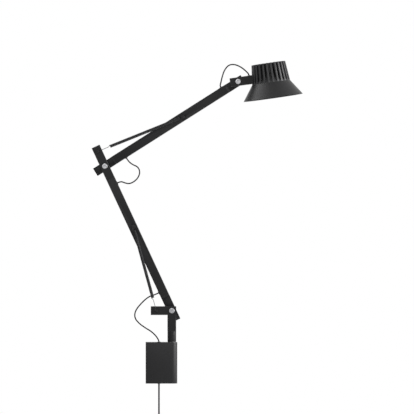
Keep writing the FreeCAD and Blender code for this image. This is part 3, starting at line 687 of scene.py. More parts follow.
@dataclass(frozen=True)
class BrightMetal:
    """Bright aluminium or plating with fine wiping lines."""

    name: str
    colour: Colour = (0.8, 0.8, 0.81)
    dimming: float = 0.8
    line_scale: float = 900.0
    line_share: Place = (1.0, 1.0, 0.05)
    roughness: float = 0.14
    smoother: float = 0.04
    rougher: float = 0.1
    marks_scale: float = 80.0
    strength: float = 0.15
    depth: float = 0.00001

    def build(self) -> bpy.types.Material:
        """Makes the material.

        Returns:
            The material.
        """
        surface = Surface(self.name, self.roughness, PLAIN_SPECULAR, 1.0)
        lines = surface.noise(surface.stretched(self.line_share), self.line_scale)
        surface.tint(lines, self.colour, tuple(part * self.dimming for part in self.colour))
        low = self.roughness - self.smoother
        surface.handled(surface.coordinates, self.marks_scale, low, self.roughness + self.rougher)
        surface.relief(lines, self.strength, self.depth)
        return surface.material


@dataclass
class Palette:
    """Every finish of the lamp, built once.

    Attributes:
        layout: The lamp's pivots, which centre the turned patterns.
        lens_along: Head pivot to the lens's middle, along the head bracket.
        lens_across: The same across it.
        made: The materials by name.
    """

    layout: Layout
    lens_along: float = 0.0748
    lens_across: float = -0.027
    made: dict[str, bpy.types.Material] = field(default_factory=dict)

    def build(self) -> None:
        """Makes all the materials."""
        spot = self.layout
        lens = spot.place(spot.head, spot.head_angle, self.lens_along, self.lens_across)
        coats = [
            CoatedMetal("bar_coat", colour=(0.0066, 0.0066, 0.007)),
            CoatedMetal("box_coat", grain=1500.0, low=0.38, high=0.47),
            CoatedMetal(
                "head_coat", colour=(0.022, 0.022, 0.023), low=0.3, high=0.4, grain=1900.0, specular=0.2),
            CoatedMetal("shade_coat", low=0.37, high=0.45, grain=2200.0, depth=0.000015, specular=0.17),
            CoatedMetal("plate_coat", low=0.5, high=0.6, colour=(0.03, 0.03, 0.031))]
        metals = [
            TurnedSteel("shoulder_steel", tuple(spot.shoulder)),
            TurnedSteel("elbow_steel", tuple(spot.elbow)),
            TurnedSteel("head_steel", tuple(spot.head)),
            TurnedSteel("screw_steel", (spot.shoulder_x, 0.0, 0.0), roughness=0.3),
            Wire("blackened_wire"),
            Wire("blackened_pin", colour=(0.012, 0.012, 0.0125), rubbed=(0.05, 0.05, 0.05), roughness=0.42),
            BrightMetal("bright_reflector"),
            BrightMetal("plated_barrel", colour=(0.75, 0.75, 0.76), roughness=0.18)]
        mouldings = [
            Moulded(
                "sheath_rubber", (0.026, 0.026, 0.027), (0.06, 0.06, 0.058), roughness=0.7, specular=0.02),
            Moulded("grommet_rubber_finish", (0.02, 0.02, 0.02), (0.07, 0.07, 0.068), roughness=0.62),
            Moulded("black_moulding", (0.02, 0.02, 0.02), (0.08, 0.08, 0.078), roughness=0.48),
            Moulded("bearing_moulding", (0.1, 0.1, 0.1), (0.16, 0.16, 0.16), roughness=0.45),
            Moulded("driver_moulding", (0.55, 0.55, 0.53), (0.65, 0.65, 0.63), roughness=0.6),
            Moulded("board_mask", (0.82, 0.82, 0.8), (0.88, 0.88, 0.86), roughness=0.5, grain=900.0),
            Diffuser("opal_lens", tuple(lens), spot.head_angle)]
        for finish in coats + metals + mouldings:
            self.made[finish.name] = finish.build()
        log.info("finishes %d", len(self.made))

    def __getitem__(self, name: str) -> bpy.types.Material:
        """A finish by name."""
        return self.made[name]


# ---------------------------------------------------------------- mesh helpers
def linked(name: str, data: bpy.types.ID) -> bpy.types.Object:
    """Puts data in the scene as an object at the origin.

    Args:
        name: The object's name.
        data: Its mesh, curve, camera or lamp.

    Returns:
        The object.
    """
    piece = bpy.data.objects.new(name, data)
    bpy.context.scene.collection.objects.link(piece)
    return piece


def mesh_piece(
        name: str, shape: bmesh.types.BMesh, material: bpy.types.Material, smooth: bool) -> bpy.types.Object:
    """Turns a finished bmesh into a piece.

    Args:
        name: The piece's name.
        shape: The bmesh, which is freed.
        material: Its finish.
        smooth: Whether its faces are shaded smooth.

    Returns:
        The piece.
    """
    for face in shape.faces:
        face.smooth = smooth
    data = bpy.data.meshes.new(name)
    shape.to_mesh(data)
    shape.free()
    data.materials.append(material)
    return linked(name, data)


def dress(node: str, material: bpy.types.Material) -> None:
    """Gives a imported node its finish.

    Args:
        node: The node.
        material: The finish.
    """
    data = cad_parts[node].data
    data.materials.clear()
    data.materials.append(material)
    log.info("dressed %s with %s", node, material.name)


@dataclass(frozen=True)
class EdgeBreak:
    """How the sharp outward edges of a part are broken.

    Attributes:
        width: How far the break reaches from the edge, along each face.
        shortest: The shortest edge that is broken.
        sharp: Fold, in degrees, from which an edge is sharp.
        flat: Fold, in degrees, up to which neighbouring faces are one.
        crease: Fold, in degrees, from which the shading shows a crease.
        weld: Distance within which corners are one.
        narrow: Width up to which a face counts as part of an edge, and is rubbed.
    """

    width: float = 0.00025
    shortest: float = 0.0
    sharp: float = 38.0
    flat: float = 0.6
    crease: float = 26.0
    weld: float = 0.000002
    narrow: float = 0.00042

    def _merged(self, node: str) -> bmesh.types.BMesh:
        """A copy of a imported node's mesh, with its triangles joined into whole faces.

        Args:
            node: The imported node.

        Returns:
            The copy.
        """
        shape = bmesh.new()
        shape.from_mesh(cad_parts[node].data)
        bmesh.ops.remove_doubles(shape, verts=shape.verts[:], dist=self.weld)
        bmesh.ops.dissolve_limit(
            shape, angle_limit=math.radians(self.flat), use_dissolve_boundaries=False, verts=shape.verts[:],
            edges=shape.edges[:])
        return shape

    def _is_hard(self, edge: bmesh.types.BMEdge) -> bool:
        """Whether an edge is one of those to break.

        Args:
            edge: The edge.

        Returns:
            Whether it is sharp, turned outwards and long enough.
        """
        if len(edge.link_faces) != 2 or not edge.is_convex:
            return False
        return edge.calc_face_angle() > math.radians(self.sharp) and edge.calc_length() > self.shortest

    def _mark_rubbed(self, shape: bmesh.types.BMesh) -> None:
        """Marks the faces that are too narrow to be anything but an edge.

        Args:
            shape: The bmesh.
        """
        rub = shape.faces.layers.float.new(RUB)
        for face in shape.faces:
            across = 2.0 * face.calc_area() / face.calc_perimeter()
            face[rub] = 1.0 if across < self.narrow else 0.0

    def build(self, node: str, material: bpy.types.Material) -> bpy.types.Object:
        """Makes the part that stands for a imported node.

        Args:
            node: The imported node.
            material: Its finish.

        Returns:
            The part, which shows in the node's place.
        """
        shape = self._merged(node)
        hard = [edge for edge in shape.edges if self._is_hard(edge)]
        bmesh.ops.bevel(
            shape, geom=hard, offset=self.width, offset_type="OFFSET", affect="EDGES", segments=2,
            profile=0.5, clamp_overlap=False, material=-1)
        self._mark_rubbed(shape)
        bmesh.ops.triangulate(shape, faces=[face for face in shape.faces if len(face.verts) > 4])
        for edge in shape.edges:
            edge.smooth = edge.calc_face_angle(0.0) < math.radians(self.crease)
        piece = mesh_piece(node + "_part", shape, material, smooth=True)
        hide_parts(node)
        return piece


BAR_BREAK = EdgeBreak(width=0.0003)                       # bars and the larger parts of box and head
LAP_BREAK = EdgeBreak(width=0.0009, narrow=0.0009)        # the upper arm's half-lap at the head
CUT_BREAK = EdgeBreak(width=0.0003, shortest=0.001)       # parts whose cuts meet in very short edges
SMALL_BREAK = EdgeBreak(width=0.0002)                     # pins, screws, bolts, nuts and washers

BROKEN_PARTS: tuple[tuple[EdgeBreak, tuple[str, ...]], ...] = (
    (BAR_BREAK, (
        "wall_box", "wall_plate", "nose_cap", "lower_arm_tube", "lower_arm_foot", "upper_arm_tube",
        "upper_arm_foot", "heat_sink", "lens_ring")),
    (LAP_BREAK, ("upper_arm_tip",)),
    (CUT_BREAK, ("swivel_bracket", "lower_arm_tail", "head_bracket")),
    (SMALL_BREAK, (
        "box_screws", "post_screw", "lever_pin", "lower_anchor_pin", "tail_pin", "upper_anchor_pin",
        "shoulder_bolt", "shoulder_nut", "shoulder_washer", "elbow_bolt", "elbow_nut", "elbow_washer",
        "head_bolt", "head_nut", "head_washer")))

EDGE_BREAKS: dict[str, EdgeBreak] = {node: edge_break for edge_break, nodes in BROKEN_PARTS for node in nodes}


def finish_part(node: str, finish: str, palette: Palette, body: Body) -> None:
    """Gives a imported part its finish, with its sharp edges broken where it is a hard-edged part.

    Args:
        node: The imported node.
        finish: Its finish's name.
        palette: The finishes.
        body: The body that carries it.
    """
    edge_break = EDGE_BREAKS.get(node)
    if edge_break is None:
        dress(node, palette[finish])
        return
    piece = edge_break.build(node, palette[finish])
    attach(piece, body.value)
    log.info("part %s with %s", piece.name, finish)


def route_curve(name: str, points: list[Vector], radius: float = 0.0, steps: int = 12) -> bpy.types.Object:
    """A smooth open NURBS line whose control points are the route's points.

    Args:
        name: The object's name.
        points: The route.
        radius: The tube's radius, or 0 for the bare line.
        steps: Points of the line for each control point.

    Returns:
        The curve object.
    """
    data = bpy.data.curves.new(name, "CURVE")
    data.dimensions = "3D"
    data.resolution_u = steps
    data.bevel_depth = radius
    data.bevel_resolution = 4
    data.use_fill_caps = True
    spline = data.splines.new("NURBS")
    spline.points.add(len(points) - 1)
    for point, place in zip(spline.points, points):
        point.co = (*place, 1.0)
    spline.order_u = 3
    spline.use_endpoint_u = True
    return linked(name, data)


def taken_mesh(curve: bpy.types.Object, name: str) -> bpy.types.Mesh:
    """The mesh of a curve, which is then removed.

    Args:
        curve: The curve object.
        name: The mesh's name.

    Returns:
        The mesh.
    """
    ready = curve.evaluated_get(bpy.context.evaluated_depsgraph_get())
    data = bpy.data.meshes.new_from_object(ready)
    data.name = name
    bpy.data.objects.remove(curve)
    return data


def tube_piece(
        name: str, points: list[Vector], radius: float, material: bpy.types.Material) -> bpy.types.Object:
    """A round tube along a smooth route, as a mesh.

    Args:
        name: The piece's name.
        points: The route.
        radius: The tube's radius.
        material: Its finish.

    Returns:
        The piece.
    """
    data = taken_mesh(route_curve(name, points, radius), name)
    for face in data.polygons:
        face.use_smooth = True
    data.materials.clear()
    data.materials.append(material)
    return linked(name, data)


def line_points(points: list[Vector]) -> list[Vector]:
    """The places that a route's smooth line passes.

    Args:
        points: The route.

    Returns:
        The places, in order.
    """
    data = taken_mesh(route_curve("line", points), "line")
    places = [vertex.co.copy() for vertex in data.vertices]
    bpy.data.meshes.remove(data)
    return places


def in_plane(origin: Vector, route: Route) -> list[Vector]:
    """Route points in the arms' plane, counted from a place."""
    return [origin + Vector((x, 0.0, z)) for x, z in route]


# ---------------------------------------------------------------- sub-assemblies
@dataclass
class LeadLoop:
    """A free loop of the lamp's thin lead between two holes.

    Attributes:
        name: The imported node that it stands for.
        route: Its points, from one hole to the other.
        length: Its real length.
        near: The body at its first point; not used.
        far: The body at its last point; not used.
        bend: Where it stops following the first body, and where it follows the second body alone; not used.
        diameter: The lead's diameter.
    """

    name: str
    route: list[Vector]
    length: float
    near: Body
    far: Body
    bend: tuple[Place, Place]
    diameter: float = 0.003

    def build(self, material: bpy.types.Material) -> bpy.types.Object:
        """Makes the loop.

        Args:
            material: The sheath's finish.

        Returns:
            The loop.
        """
        piece = tube_piece(self.name + "_lead", self.route, self.diameter / 2.0, material)
        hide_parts(self.name)
        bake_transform(piece)
        self.length
        line_points(self.route)
        log.info("loop %s", piece.name)
        return piece


@dataclass
class BalanceSpring:
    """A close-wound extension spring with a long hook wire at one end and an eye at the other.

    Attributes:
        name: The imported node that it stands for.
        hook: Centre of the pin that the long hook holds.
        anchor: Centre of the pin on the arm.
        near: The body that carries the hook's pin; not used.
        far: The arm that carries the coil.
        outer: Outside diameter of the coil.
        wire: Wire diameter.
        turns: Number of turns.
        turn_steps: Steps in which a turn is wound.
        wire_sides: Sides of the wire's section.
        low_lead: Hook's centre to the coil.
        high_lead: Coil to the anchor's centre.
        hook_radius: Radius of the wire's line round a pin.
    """

    name: str
    hook: Vector
    anchor: Vector
    near: Body
    far: Body
    outer: float = 0.0074
    wire: float = 0.0012
    turns: int = 132
    turn_steps: int = 12
    wire_sides: int = 6
    low_lead: float = 0.0306
    high_lead: float = 0.009
    hook_radius: float = 0.0028

    @property
    def length(self) -> float:
        """Distance between the two pins."""
        return (self.anchor - self.hook).length

    @property
    def axis(self) -> Vector:
        """Unit vector from the hook to the anchor."""
        return (self.anchor - self.hook).normalized()

    @property
    def side(self) -> Vector:
        """Unit vector across the spring, in the arms' plane."""
        return self.axis.cross(Vector((0.0, 1.0, 0.0)))

    @property
    def radius(self) -> float:
        """Radius of the wire's line in the coil."""
        return (self.outer - self.wire) / 2.0

    def spot(self, along: float, across: float) -> Vector:
        """A place counted from the hook's centre."""
        return self.hook + self.axis * along + self.side * across

    def _wound(self) -> bmesh.types.BMesh:
        """The closed coil, wound up Z by spinning the wire's section about it.

        Returns:
            The coil's bmesh.
        """
        coil_length = self.length - self.low_lead - self.high_lead
        steps = self.turn_steps * self.turns
        shape = bmesh.new()
        section = bmesh.ops.create_circle(
            shape, segments=self.wire_sides, radius=self.wire / 2.0, cap_ends=False)["verts"]
        upright = Matrix.Rotation(RIGHT_ANGLE, 3, "X")
        bmesh.ops.rotate(shape, verts=section, cent=(0, 0, 0), matrix=upright)
        bmesh.ops.translate(shape, verts=section, vec=(self.radius, 0.0, 0.0))
        bmesh.ops.spin(
            shape, geom=section + shape.edges[:], cent=(0, 0, 0), axis=(0, 0, 1),
            dvec=(0, 0, coil_length / steps), angle=2.0 * math.pi * self.turns, steps=steps, use_merge=False)
        bmesh.ops.holes_fill(shape, edges=[edge for edge in shape.edges if edge.is_boundary], sides=0)
        bmesh.ops.recalc_face_normals(shape, faces=shape.faces[:])
        return shape

    def _coil(self, material: bpy.types.Material) -> bpy.types.Object:
        """The coil in its place.

        Args:
            material: The wire's finish.

        Returns:
            The piece.
        """
        shape = self._wound()
        turned = Matrix((self.side, Vector((0.0, 1.0, 0.0)), self.axis)).transposed().to_4x4()
        turned.translation = self.spot(self.low_lead, 0.0)
        bmesh.ops.transform(shape, matrix=turned, verts=shape.verts[:])
        return mesh_piece(self.name + "_coil", shape, material, smooth=True)

    def _bent(self, pin: Vector, outward: float, spots: Route) -> list[Vector]:
        """The wire's line round a pin and on to the coil.

        Args:
            pin: The pin's centre.
            outward: 1 or -1, the way along the axis that the wire goes round the pin.
            spots: The places after it, along and across from the hook's centre.

        Returns:
            The line's points, from its free end.
        """
        points = []
        reach = self.hook_radius / math.cos(RIGHT_ANGLE / 4.0)
        for eighth in range(-3, 3):
            angle = RIGHT_ANGLE * eighth / 2.0
            offset = self.axis * (outward * math.cos(angle)) + self.side * math.sin(angle)
            points.append(pin + offset * reach)
        return points + [self.spot(along, across) for along, across in spots]

    def build(self, material: bpy.types.Material) -> None:
        """Makes coil, hook wire and eye, and parents the coil and the eye to the arm's body.

        Args:
            material: The wire's finish.
        """
        coil = self._coil(material)
        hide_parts(self.name)
        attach(coil, self.far.value)
        reach = self.hook_radius
        leaves_pin = (reach * 1.6, reach * 0.55)
        runs_straight = ((reach * 2.6, 0.0), (self.low_lead * 0.6, 0.0))
        swings_out = (self.low_lead - self.outer * 0.4, 0.0)
        meets_coil = ((self.low_lead - self.wire, self.radius * 0.75), (self.low_lead, self.radius))
        hook_points = self._bent(self.hook, -1.0, (leaves_pin, *runs_straight, swings_out, *meets_coil))
        hook_wire = tube_piece(self.name + "_hook", hook_points, self.wire / 2.0, material)
        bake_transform(hook_wire)
        coil_end = self.length - self.high_lead
        leaves_anchor = (self.length - reach * 1.6, reach * 0.9)
        meets_coil = ((coil_end + self.wire, self.radius), (coil_end, self.radius * 0.9))
        eye_points = self._bent(self.anchor, 1.0, (leaves_anchor, *meets_coil))
        eye = tube_piece(self.name + "_eye", eye_points, self.wire / 2.0, material)
        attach(eye, self.far.value)
        for piece in (coil, hook_wire, eye):
            log.info("spring piece %s", piece.name)


@dataclass
class Plug:
    """The barrel plug's moulding: a turned body with grip rings, and its ribbed taper.

    Attributes:
        place: Where the lead goes into its taper.
        taper: Length of the tapered strain relief.
        neck: Radius of its thin end.
        lip: How much thicker it is at its first bend.
        swelling: How much thicker it gets on the way to the body.
        plain: Length of the taper that has no ribs.
        first_rib: Taper's end to its first rib.
        ribs: Number of its ribs.
        rib_lead: Share of a step by which a rib's radius is ahead.
        rib_depth: Depth of the gaps between them.
        rib_share: Share of a step that a rib takes.
        gap_from: Share of a step at which a gap's floor starts.
        gap_to: Share of a step at which it ends.
        length: Length of the body.
        radius: Its radius.
        collar: Radius where the body meets the taper.
        rounding: How far its top edge is rounded.
        first_ring: Body's top to its first grip ring.
        rings: Number of grip rings.
        ring_pitch: Distance between them.
        ring_width: A ring's top to the end of its floor.
        ring_depth: Depth of a ring.
        end_rounding: Height of the slope at the body's end.
        end_inset: Width of that slope.
        sides: Steps in which the outline is turned.
    """

    place: Vector
    taper: float = 0.022
    neck: float = 0.0026
    lip: float = 0.0003
    swelling: float = 0.0013
    plain: float = 0.003
    first_rib: float = 0.002
    ribs: int = 6
    rib_lead: float = 0.35
    rib_depth: float = 0.0006
    rib_share: float = 0.55
    gap_from: float = 0.62
    gap_to: float = 0.95
    length: float = 0.028
    radius: float = 0.005
    collar: float = 0.0038
    rounding: float = 0.0012
    first_ring: float = 0.006
    rings: int = 5
    ring_pitch: float = 0.0022
    ring_width: float = 0.0009
    ring_depth: float = 0.0004
    end_rounding: float = 0.001
    end_inset: float = 0.0008
    sides: int = 40

    def _taper_outline(self) -> list[tuple[float, float]]:
        """Radius and height of the taper's outline, going down.

        Returns:
            The outline.
        """
        top = self.place.z
        outline = [(0.0, top), (self.neck, top), (self.neck + self.lip, top - self.plain / 2.0)]
        step = (self.taper - self.plain) / self.ribs
        for index in range(self.ribs):
            radius = self.neck + self.swelling * ((index + self.rib_lead) / self.ribs)
            gap = radius - self.rib_depth
            height = top - self.first_rib - step * index
            outline += [(radius, height), (radius, height - step * self.rib_share)]
            outline += [(gap, height - step * self.gap_from), (gap, height - step * self.gap_to)]
        return outline

    def _body_outline(self) -> list[tuple[float, float]]:
        """Radius and height of the body's outline, going down.

        Returns:
            The outline.
        """
        top = self.place.z - self.taper
        bottom = top - self.length
        floor = self.radius - self.ring_depth
        outline = [(self.collar, top), (floor, top - self.ring_depth), (self.radius, top - self.rounding)]
        for index in range(self.rings):
            ring = top - self.first_ring - self.ring_pitch * index
            outline += [(self.radius, ring), (floor, ring - self.ring_depth)]
            ring -= self.ring_width
            outline += [(floor, ring), (self.radius, ring - self.ring_depth)]
        outline += [(self.radius, bottom + self.end_rounding), (self.radius - self.end_inset, bottom)]
        return outline + [(0.0, bottom)]

    def build(self, material: bpy.types.Material) -> bpy.types.Object:
        """Turns the outline round the lead's line.

        Args:
            material: Its finish.

        Returns:
            The moulding.
        """
        shape = bmesh.new()
        outline = self._taper_outline() + self._body_outline()
        line = [shape.verts.new((radius, 0.0, height)) for radius, height in outline]
        edges = [shape.edges.new(ends) for ends in zip(line, line[1:])]
        bmesh.ops.spin(
            shape, geom=line + edges, cent=(0, 0, 0), axis=(0, 0, 1), angle=2.0 * math.pi, steps=self.sides,
            use_merge=True)
        bmesh.ops.remove_doubles(shape, verts=shape.verts[:], dist=0.000001)
        bmesh.ops.translate(shape, verts=shape.verts[:], vec=(self.place.x, self.place.y, 0.0))
        bmesh.ops.recalc_face_normals(shape, faces=shape.faces[:])
        piece = mesh_piece("plug_moulding", shape, material, smooth=False)
        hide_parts("plug_body", "plug_relief")
        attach(piece, Body.WALL.value)
        return piece


@dataclass
class SupplyLead:
    """The supply lead: a straight hanging stretch, the put-away coil, its tie and the plug.

    Attributes:
        reach: Wall face to the lead's straight stretch.
        exit_z: Height at which it leaves the grommet.
        diameter: Its diameter.
        length: Its real length.
        exit_run: Grommet to the lead's first free point.
        entry_run: The lead's last straight point to the coil's middle.
        mean_radius: Middle radius of the coil's turns.
        pitch: Distance between neighbouring turns and layers.
        layer_turns: Turns in each layer.
        climb: Share of a turn in which it climbs to the next layer.
        turn_points: Route points for each turn.
        drop: Box middle to the coil's centre.
        tail: Straight stretch from the coil to the plug.
    """

    reach: float = 0.0304
    exit_z: float = -0.0483
    diameter: float = 0.0037
    length: float = 1.958
    exit_run: float = 0.022
    entry_run: float = 0.012
    mean_radius: float = 0.0214
    pitch: float = 0.0048
    layer_turns: tuple[float, ...] = (3.25, 3.0, 3.0, 3.25)
    climb: float = 0.5
    turn_points: int = 16
    drop: float = 0.151
    tail: float = 0.022

    @property
    def outer_radius(self) -> float:
        """Radius of the outermost turn's line."""
        return self.mean_radius + self.pitch * self.layer_turns[0] / 2.0

    @property
    def climbs(self) -> int:
        """How often the lead climbs from one layer to the next."""
        return len(self.layer_turns) - 1

    @property
    def centre(self) -> Vector:
        """The coil's centre, in its first layer."""
        return Vector((self.reach + self.outer_radius, 0.0, -self.drop - self.diameter))

    def _hung(self, height: float, deep: float = 0.0) -> Vector:
        """A place straight below the grommet, or across the wall from there."""
        return Vector((self.reach, deep, height))

    def _turn_place(self, turn: float) -> Vector:
        """A point of the coil's route.

        The smooth line runs just inside its points, so they lie as much further out.

        Args:
            turn: Turns since the lead came in at the coil's left, going down.

        Returns:
            The point.
        """
        radius = self.outer_radius
        deep = 0.0
        inward = 1.0
        left = turn
        for layer, turns in enumerate(self.layer_turns):
            wound = min(left, turns)
            radius -= inward * self.pitch * wound
            left -= wound
            if left <= 0.0 or layer == self.climbs:
                break
            climbed = min(left, self.climb) / self.climb
            deep += self.pitch * climbed ** 2 * (3.0 - 2.0 * climbed)
            left -= min(left, self.climb)
            inward = -inward
        angle = math.pi + 2.0 * math.pi * turn
        swollen = radius / math.cos(math.pi / self.turn_points) ** 0.5
        return self.centre + Vector((swollen * math.cos(angle), deep, swollen * math.sin(angle)))

    def _route(self) -> list[Vector]:
        """The whole lead's route, from the grommet to the plug.

        Returns:
            The route.
        """
        depth = self.pitch * self.climbs
        bottom = -self.drop - self.tail
        points = [
            self._hung(self.exit_z), self._hung(self.exit_z - self.exit_run),
            self._hung(-self.drop + self.entry_run)]
        turns = sum(self.layer_turns) + self.climb * self.climbs
        for index in range(int(round(turns * self.turn_points))):
            points.append(self._turn_place(index / self.turn_points))
        points.append(self._hung(self.centre.z, depth))
        points.append(self._hung((bottom + self.centre.z) / 2.0, depth))
        points.append(self._hung(bottom, depth))
        return points

    def build(self, palette: Palette) -> None:
        """Makes the lead and the plug, and dresses the tie and the barrel.

        Args:
            palette: The finishes.
        """
        route = self._route()
        lead = route_curve("supply_lead", route, self.diameter / 2.0, steps=4)
        lead.data.materials.append(palette["sheath_rubber"])
        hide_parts("supply_cord", "supply_coil")
        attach(lead, Body.WALL.value)
        plug = Plug(route[-1]).build(palette["black_moulding"])
        dress("coil_tie", palette["black_moulding"])
        dress("plug_barrel", palette["plated_barrel"])
        self.length
        log.info("supply lead and plug")


@dataclass
class Unit:
    """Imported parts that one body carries.

    Attributes:
        body: The body.
        finishes: The finish of each part, by its node.
    """

    body: Body
    finishes: dict[str, str]

    def build(self, palette: Palette) -> None:
        """Gives each part its finish.

        Args:
            palette: The finishes.
        """
        for node, finish in self.finishes.items():
            finish_part(node, finish, palette, self.body)


@dataclass
class WallUnit(Unit):
    """Wall box, its plate and what is in it."""

    body: Body = Body.WALL
    finishes: dict[str, str] = field(default_factory=lambda: {
        "wall_box": "box_coat", "wall_plate": "plate_coat", "box_screws": "blackened_pin",
        "led_driver": "driver_moulding", "box_leads": "sheath_rubber",
        "box_grommets": "grommet_rubber_finish", "post_bushes": "bearing_moulding",
        "nose_cap": "black_moulding"})


@dataclass
class SwivelUnit(Unit):
    """The bracket that turns in the wall box, with its lever."""

    body: Body = Body.SWIVEL
    finishes: dict[str, str] = field(default_factory=lambda: {
        "swivel_bracket": "bar_coat", "post_screw": "screw_steel", "lever_pin": "blackened_pin"})


@dataclass
class HeadUnit(Unit):
    """Bracket, finned heat sink, shade and light source."""

    body: Body = Body.HEAD
    finishes: dict[str, str] = field(default_factory=lambda: {
        "head_bracket": "bar_coat", "head_lead": "sheath_rubber", "bracket_grommet": "grommet_rubber_finish",
        "bracket_grub": "blackened_pin", "heat_sink": "head_coat", "shade": "shade_coat",
        "lens_ring": "shade_coat", "ring_screws": "blackened_pin", "board_screws": "screw_steel",
        "led_board": "board_mask", "reflector": "bright_reflector", "lens": "opal_lens"})


@dataclass
class Pivot:
    """Bolt, nut, washer and bush of one pivot.

    Attributes:
        name: The pivot's node prefix.
        carrier: The body that its bolt, nut and washer go with.
        turning: The body that its bush goes with.
    """

    name: str
    carrier: Body
    turning: Body

    def build(self, palette: Palette) -> None:
        """Dresses the pivot's hardware.

        Args:
            palette: The finishes.
        """
        steel = self.name + "_steel"
        finish_part(self.name + "_bolt", steel, palette, self.carrier)
        finish_part(self.name + "_nut", steel, palette, self.carrier)
        finish_part(self.name + "_washer", "bearing_moulding", palette, self.carrier)
        finish_part(self.name + "_bush", "bearing_moulding", palette, self.turning)


@dataclass
class Arm:
    """One square-bar arm with its grommets, lead and anchor pin.

    Attributes:
        body: The arm's body, whose name is its nodes' prefix.
        ends: The suffixes of its two end fittings.
        pins: Its spring pins.
    """

    body: Body
    ends: tuple[str, str]
    pins: tuple[str, ...]

    def build(self, palette: Palette) -> None:
        """Dresses the arm.

        Args:
            palette: The finishes.
        """
        prefix = self.body.value + "_"
        for suffix in ("tube", *self.ends):
            finish_part(prefix + suffix, "bar_coat", palette, self.body)
        dress(prefix + "grommets", palette["grommet_rubber_finish"])
        dress(prefix + "lead", palette["sheath_rubber"])
        for pin in self.pins:
            finish_part(pin, "blackened_pin", palette, self.body)


@dataclass
class Loops:
    """The three loops of the lamp's lead, four pieces in all.

    The routes' points are counted from the pivot of their joint, and a bend is the stretch in which a
    piece passes from following one body to following the other.

    Attributes:
        layout: The lamp's pivots.
        face: Bar's middle to a grommet's outer face.
        box_exit: Outer face of the wall box's upper grommet.
        box_exit_bend: The lead's first point after it, counted from there.
        shoulder_low: The wall unit's share of the shoulder loop.
        shoulder_high: The rest of it.
        elbow: The elbow loop.
        head: The head loop.
        lower_arm_entry: Shoulder to the lower arm's first grommet.
        lower_arm_exit: Shoulder to its second grommet.
        upper_arm_entry: Elbow to the upper arm's first grommet.
        upper_arm_exit: Elbow to its second grommet.
        bracket_entry: Head pivot to the head bracket's grommet.
        shoulder_low_bend: Start and end of the first piece's bend.
        shoulder_high_bend: The same of the second piece.
        elbow_bend: The same of the elbow loop.
        head_bend: The same of the head loop.
    """

    layout: Layout
    face: float = 0.0108
    box_exit: Place = (0.0304, 0.0, 0.0483)
    box_exit_bend: Route = ((-0.0008, 0.0042),)
    shoulder_low: Route = (
        (-0.0370, -0.0574), (-0.0480, -0.0474), (-0.0620, -0.0392), (-0.0763, -0.0288),
        (-0.0857, -0.0166), (-0.0846, -0.0020), (-0.0745, 0.0125), (-0.0650, 0.0217))
    shoulder_high: Route = ((-0.0650, 0.0217), (-0.0553, 0.0311), (-0.0414, 0.0356))
    elbow: Route = (
        (0.0545, 0.0111), (0.0639, 0.0036), (0.0765, -0.0014), (0.0811, -0.0135), (0.0769, -0.0262),
        (0.0671, -0.0360), (0.0556, -0.0406), (0.0456, -0.0382), (0.0371, -0.0347))
    head: Route = (
        (-0.0417, -0.0097), (-0.0397, -0.0026), (-0.0370, 0.0100), (-0.0318, 0.0261), (-0.0216, 0.0389),
        (-0.0069, 0.0399), (0.0081, 0.0328), (0.0182, 0.0241), (0.0248, 0.0172))
    lower_arm_entry: float = 0.0495
    lower_arm_exit: float = 0.319
    upper_arm_entry: float = 0.052
    upper_arm_exit: float = 0.3225
    bracket_entry: float = 0.0268
    shoulder_low_bend: tuple[Place, Place] = ((0.03, 0.0, 0.052), (0.03, 0.0, 0.140))
    shoulder_high_bend: tuple[Place, Place] = ((-0.003, 0.0, 0.144), (0.026, 0.0, 0.160))
    elbow_bend: tuple[Place, Place] = ((-0.03, 0.0, 0.464), (-0.03, 0.0, 0.415))
    head_bend: tuple[Place, Place] = ((0.175, 0.0, 0.66), (0.234, 0.0, 0.66))

    def _on_lower_arm(self, along: float, across: float) -> Vector:
        """A place on the lower arm, counted from the shoulder."""
        return self.layout.place(self.layout.shoulder, self.layout.lower_angle, along, across)

    def _on_upper_arm(self, along: float, across: float) -> Vector:
        """A place on the upper arm, counted from the elbow."""
        return self.layout.place(self.layout.elbow, self.layout.upper_angle, along, across)

    def build(self, sheath: bpy.types.Material) -> None:
        """Makes the four pieces.

        Args:
            sheath: The lead's finish.
        """
        spot = self.layout
        box_exit = Vector(self.box_exit)
        low = [box_exit] + in_plane(box_exit, self.box_exit_bend)
        low += in_plane(spot.shoulder, self.shoulder_low)
        high = in_plane(spot.shoulder, self.shoulder_high)
        high.append(self._on_lower_arm(self.lower_arm_entry, self.face))
        elbow = [self._on_upper_arm(self.upper_arm_entry, -self.face)]
        elbow += in_plane(spot.elbow, self.elbow)
        elbow.append(self._on_lower_arm(self.lower_arm_exit, -self.face))
        head = [self._on_upper_arm(self.upper_arm_exit, self.face)]
        head += in_plane(spot.head, self.head)
        head.append(spot.place(spot.head, spot.head_angle, self.bracket_entry, self.face))
        loops = (
            LeadLoop(
                "shoulder_loop_low", low, length=0.1248, near=Body.WALL, far=Body.SWIVEL,
                bend=self.shoulder_low_bend),
            LeadLoop(
                "shoulder_loop_high", high, length=0.0397, near=Body.SWIVEL, far=Body.LOWER_ARM,
                bend=self.shoulder_high_bend),
            LeadLoop(
                "elbow_loop", elbow, length=0.1125, near=Body.UPPER_ARM, far=Body.LOWER_ARM,
                bend=self.elbow_bend),
            LeadLoop(
                "head_loop", head, length=0.1126, near=Body.UPPER_ARM, far=Body.HEAD, bend=self.head_bend))
        for loop in loops:
            loop.build(sheath)


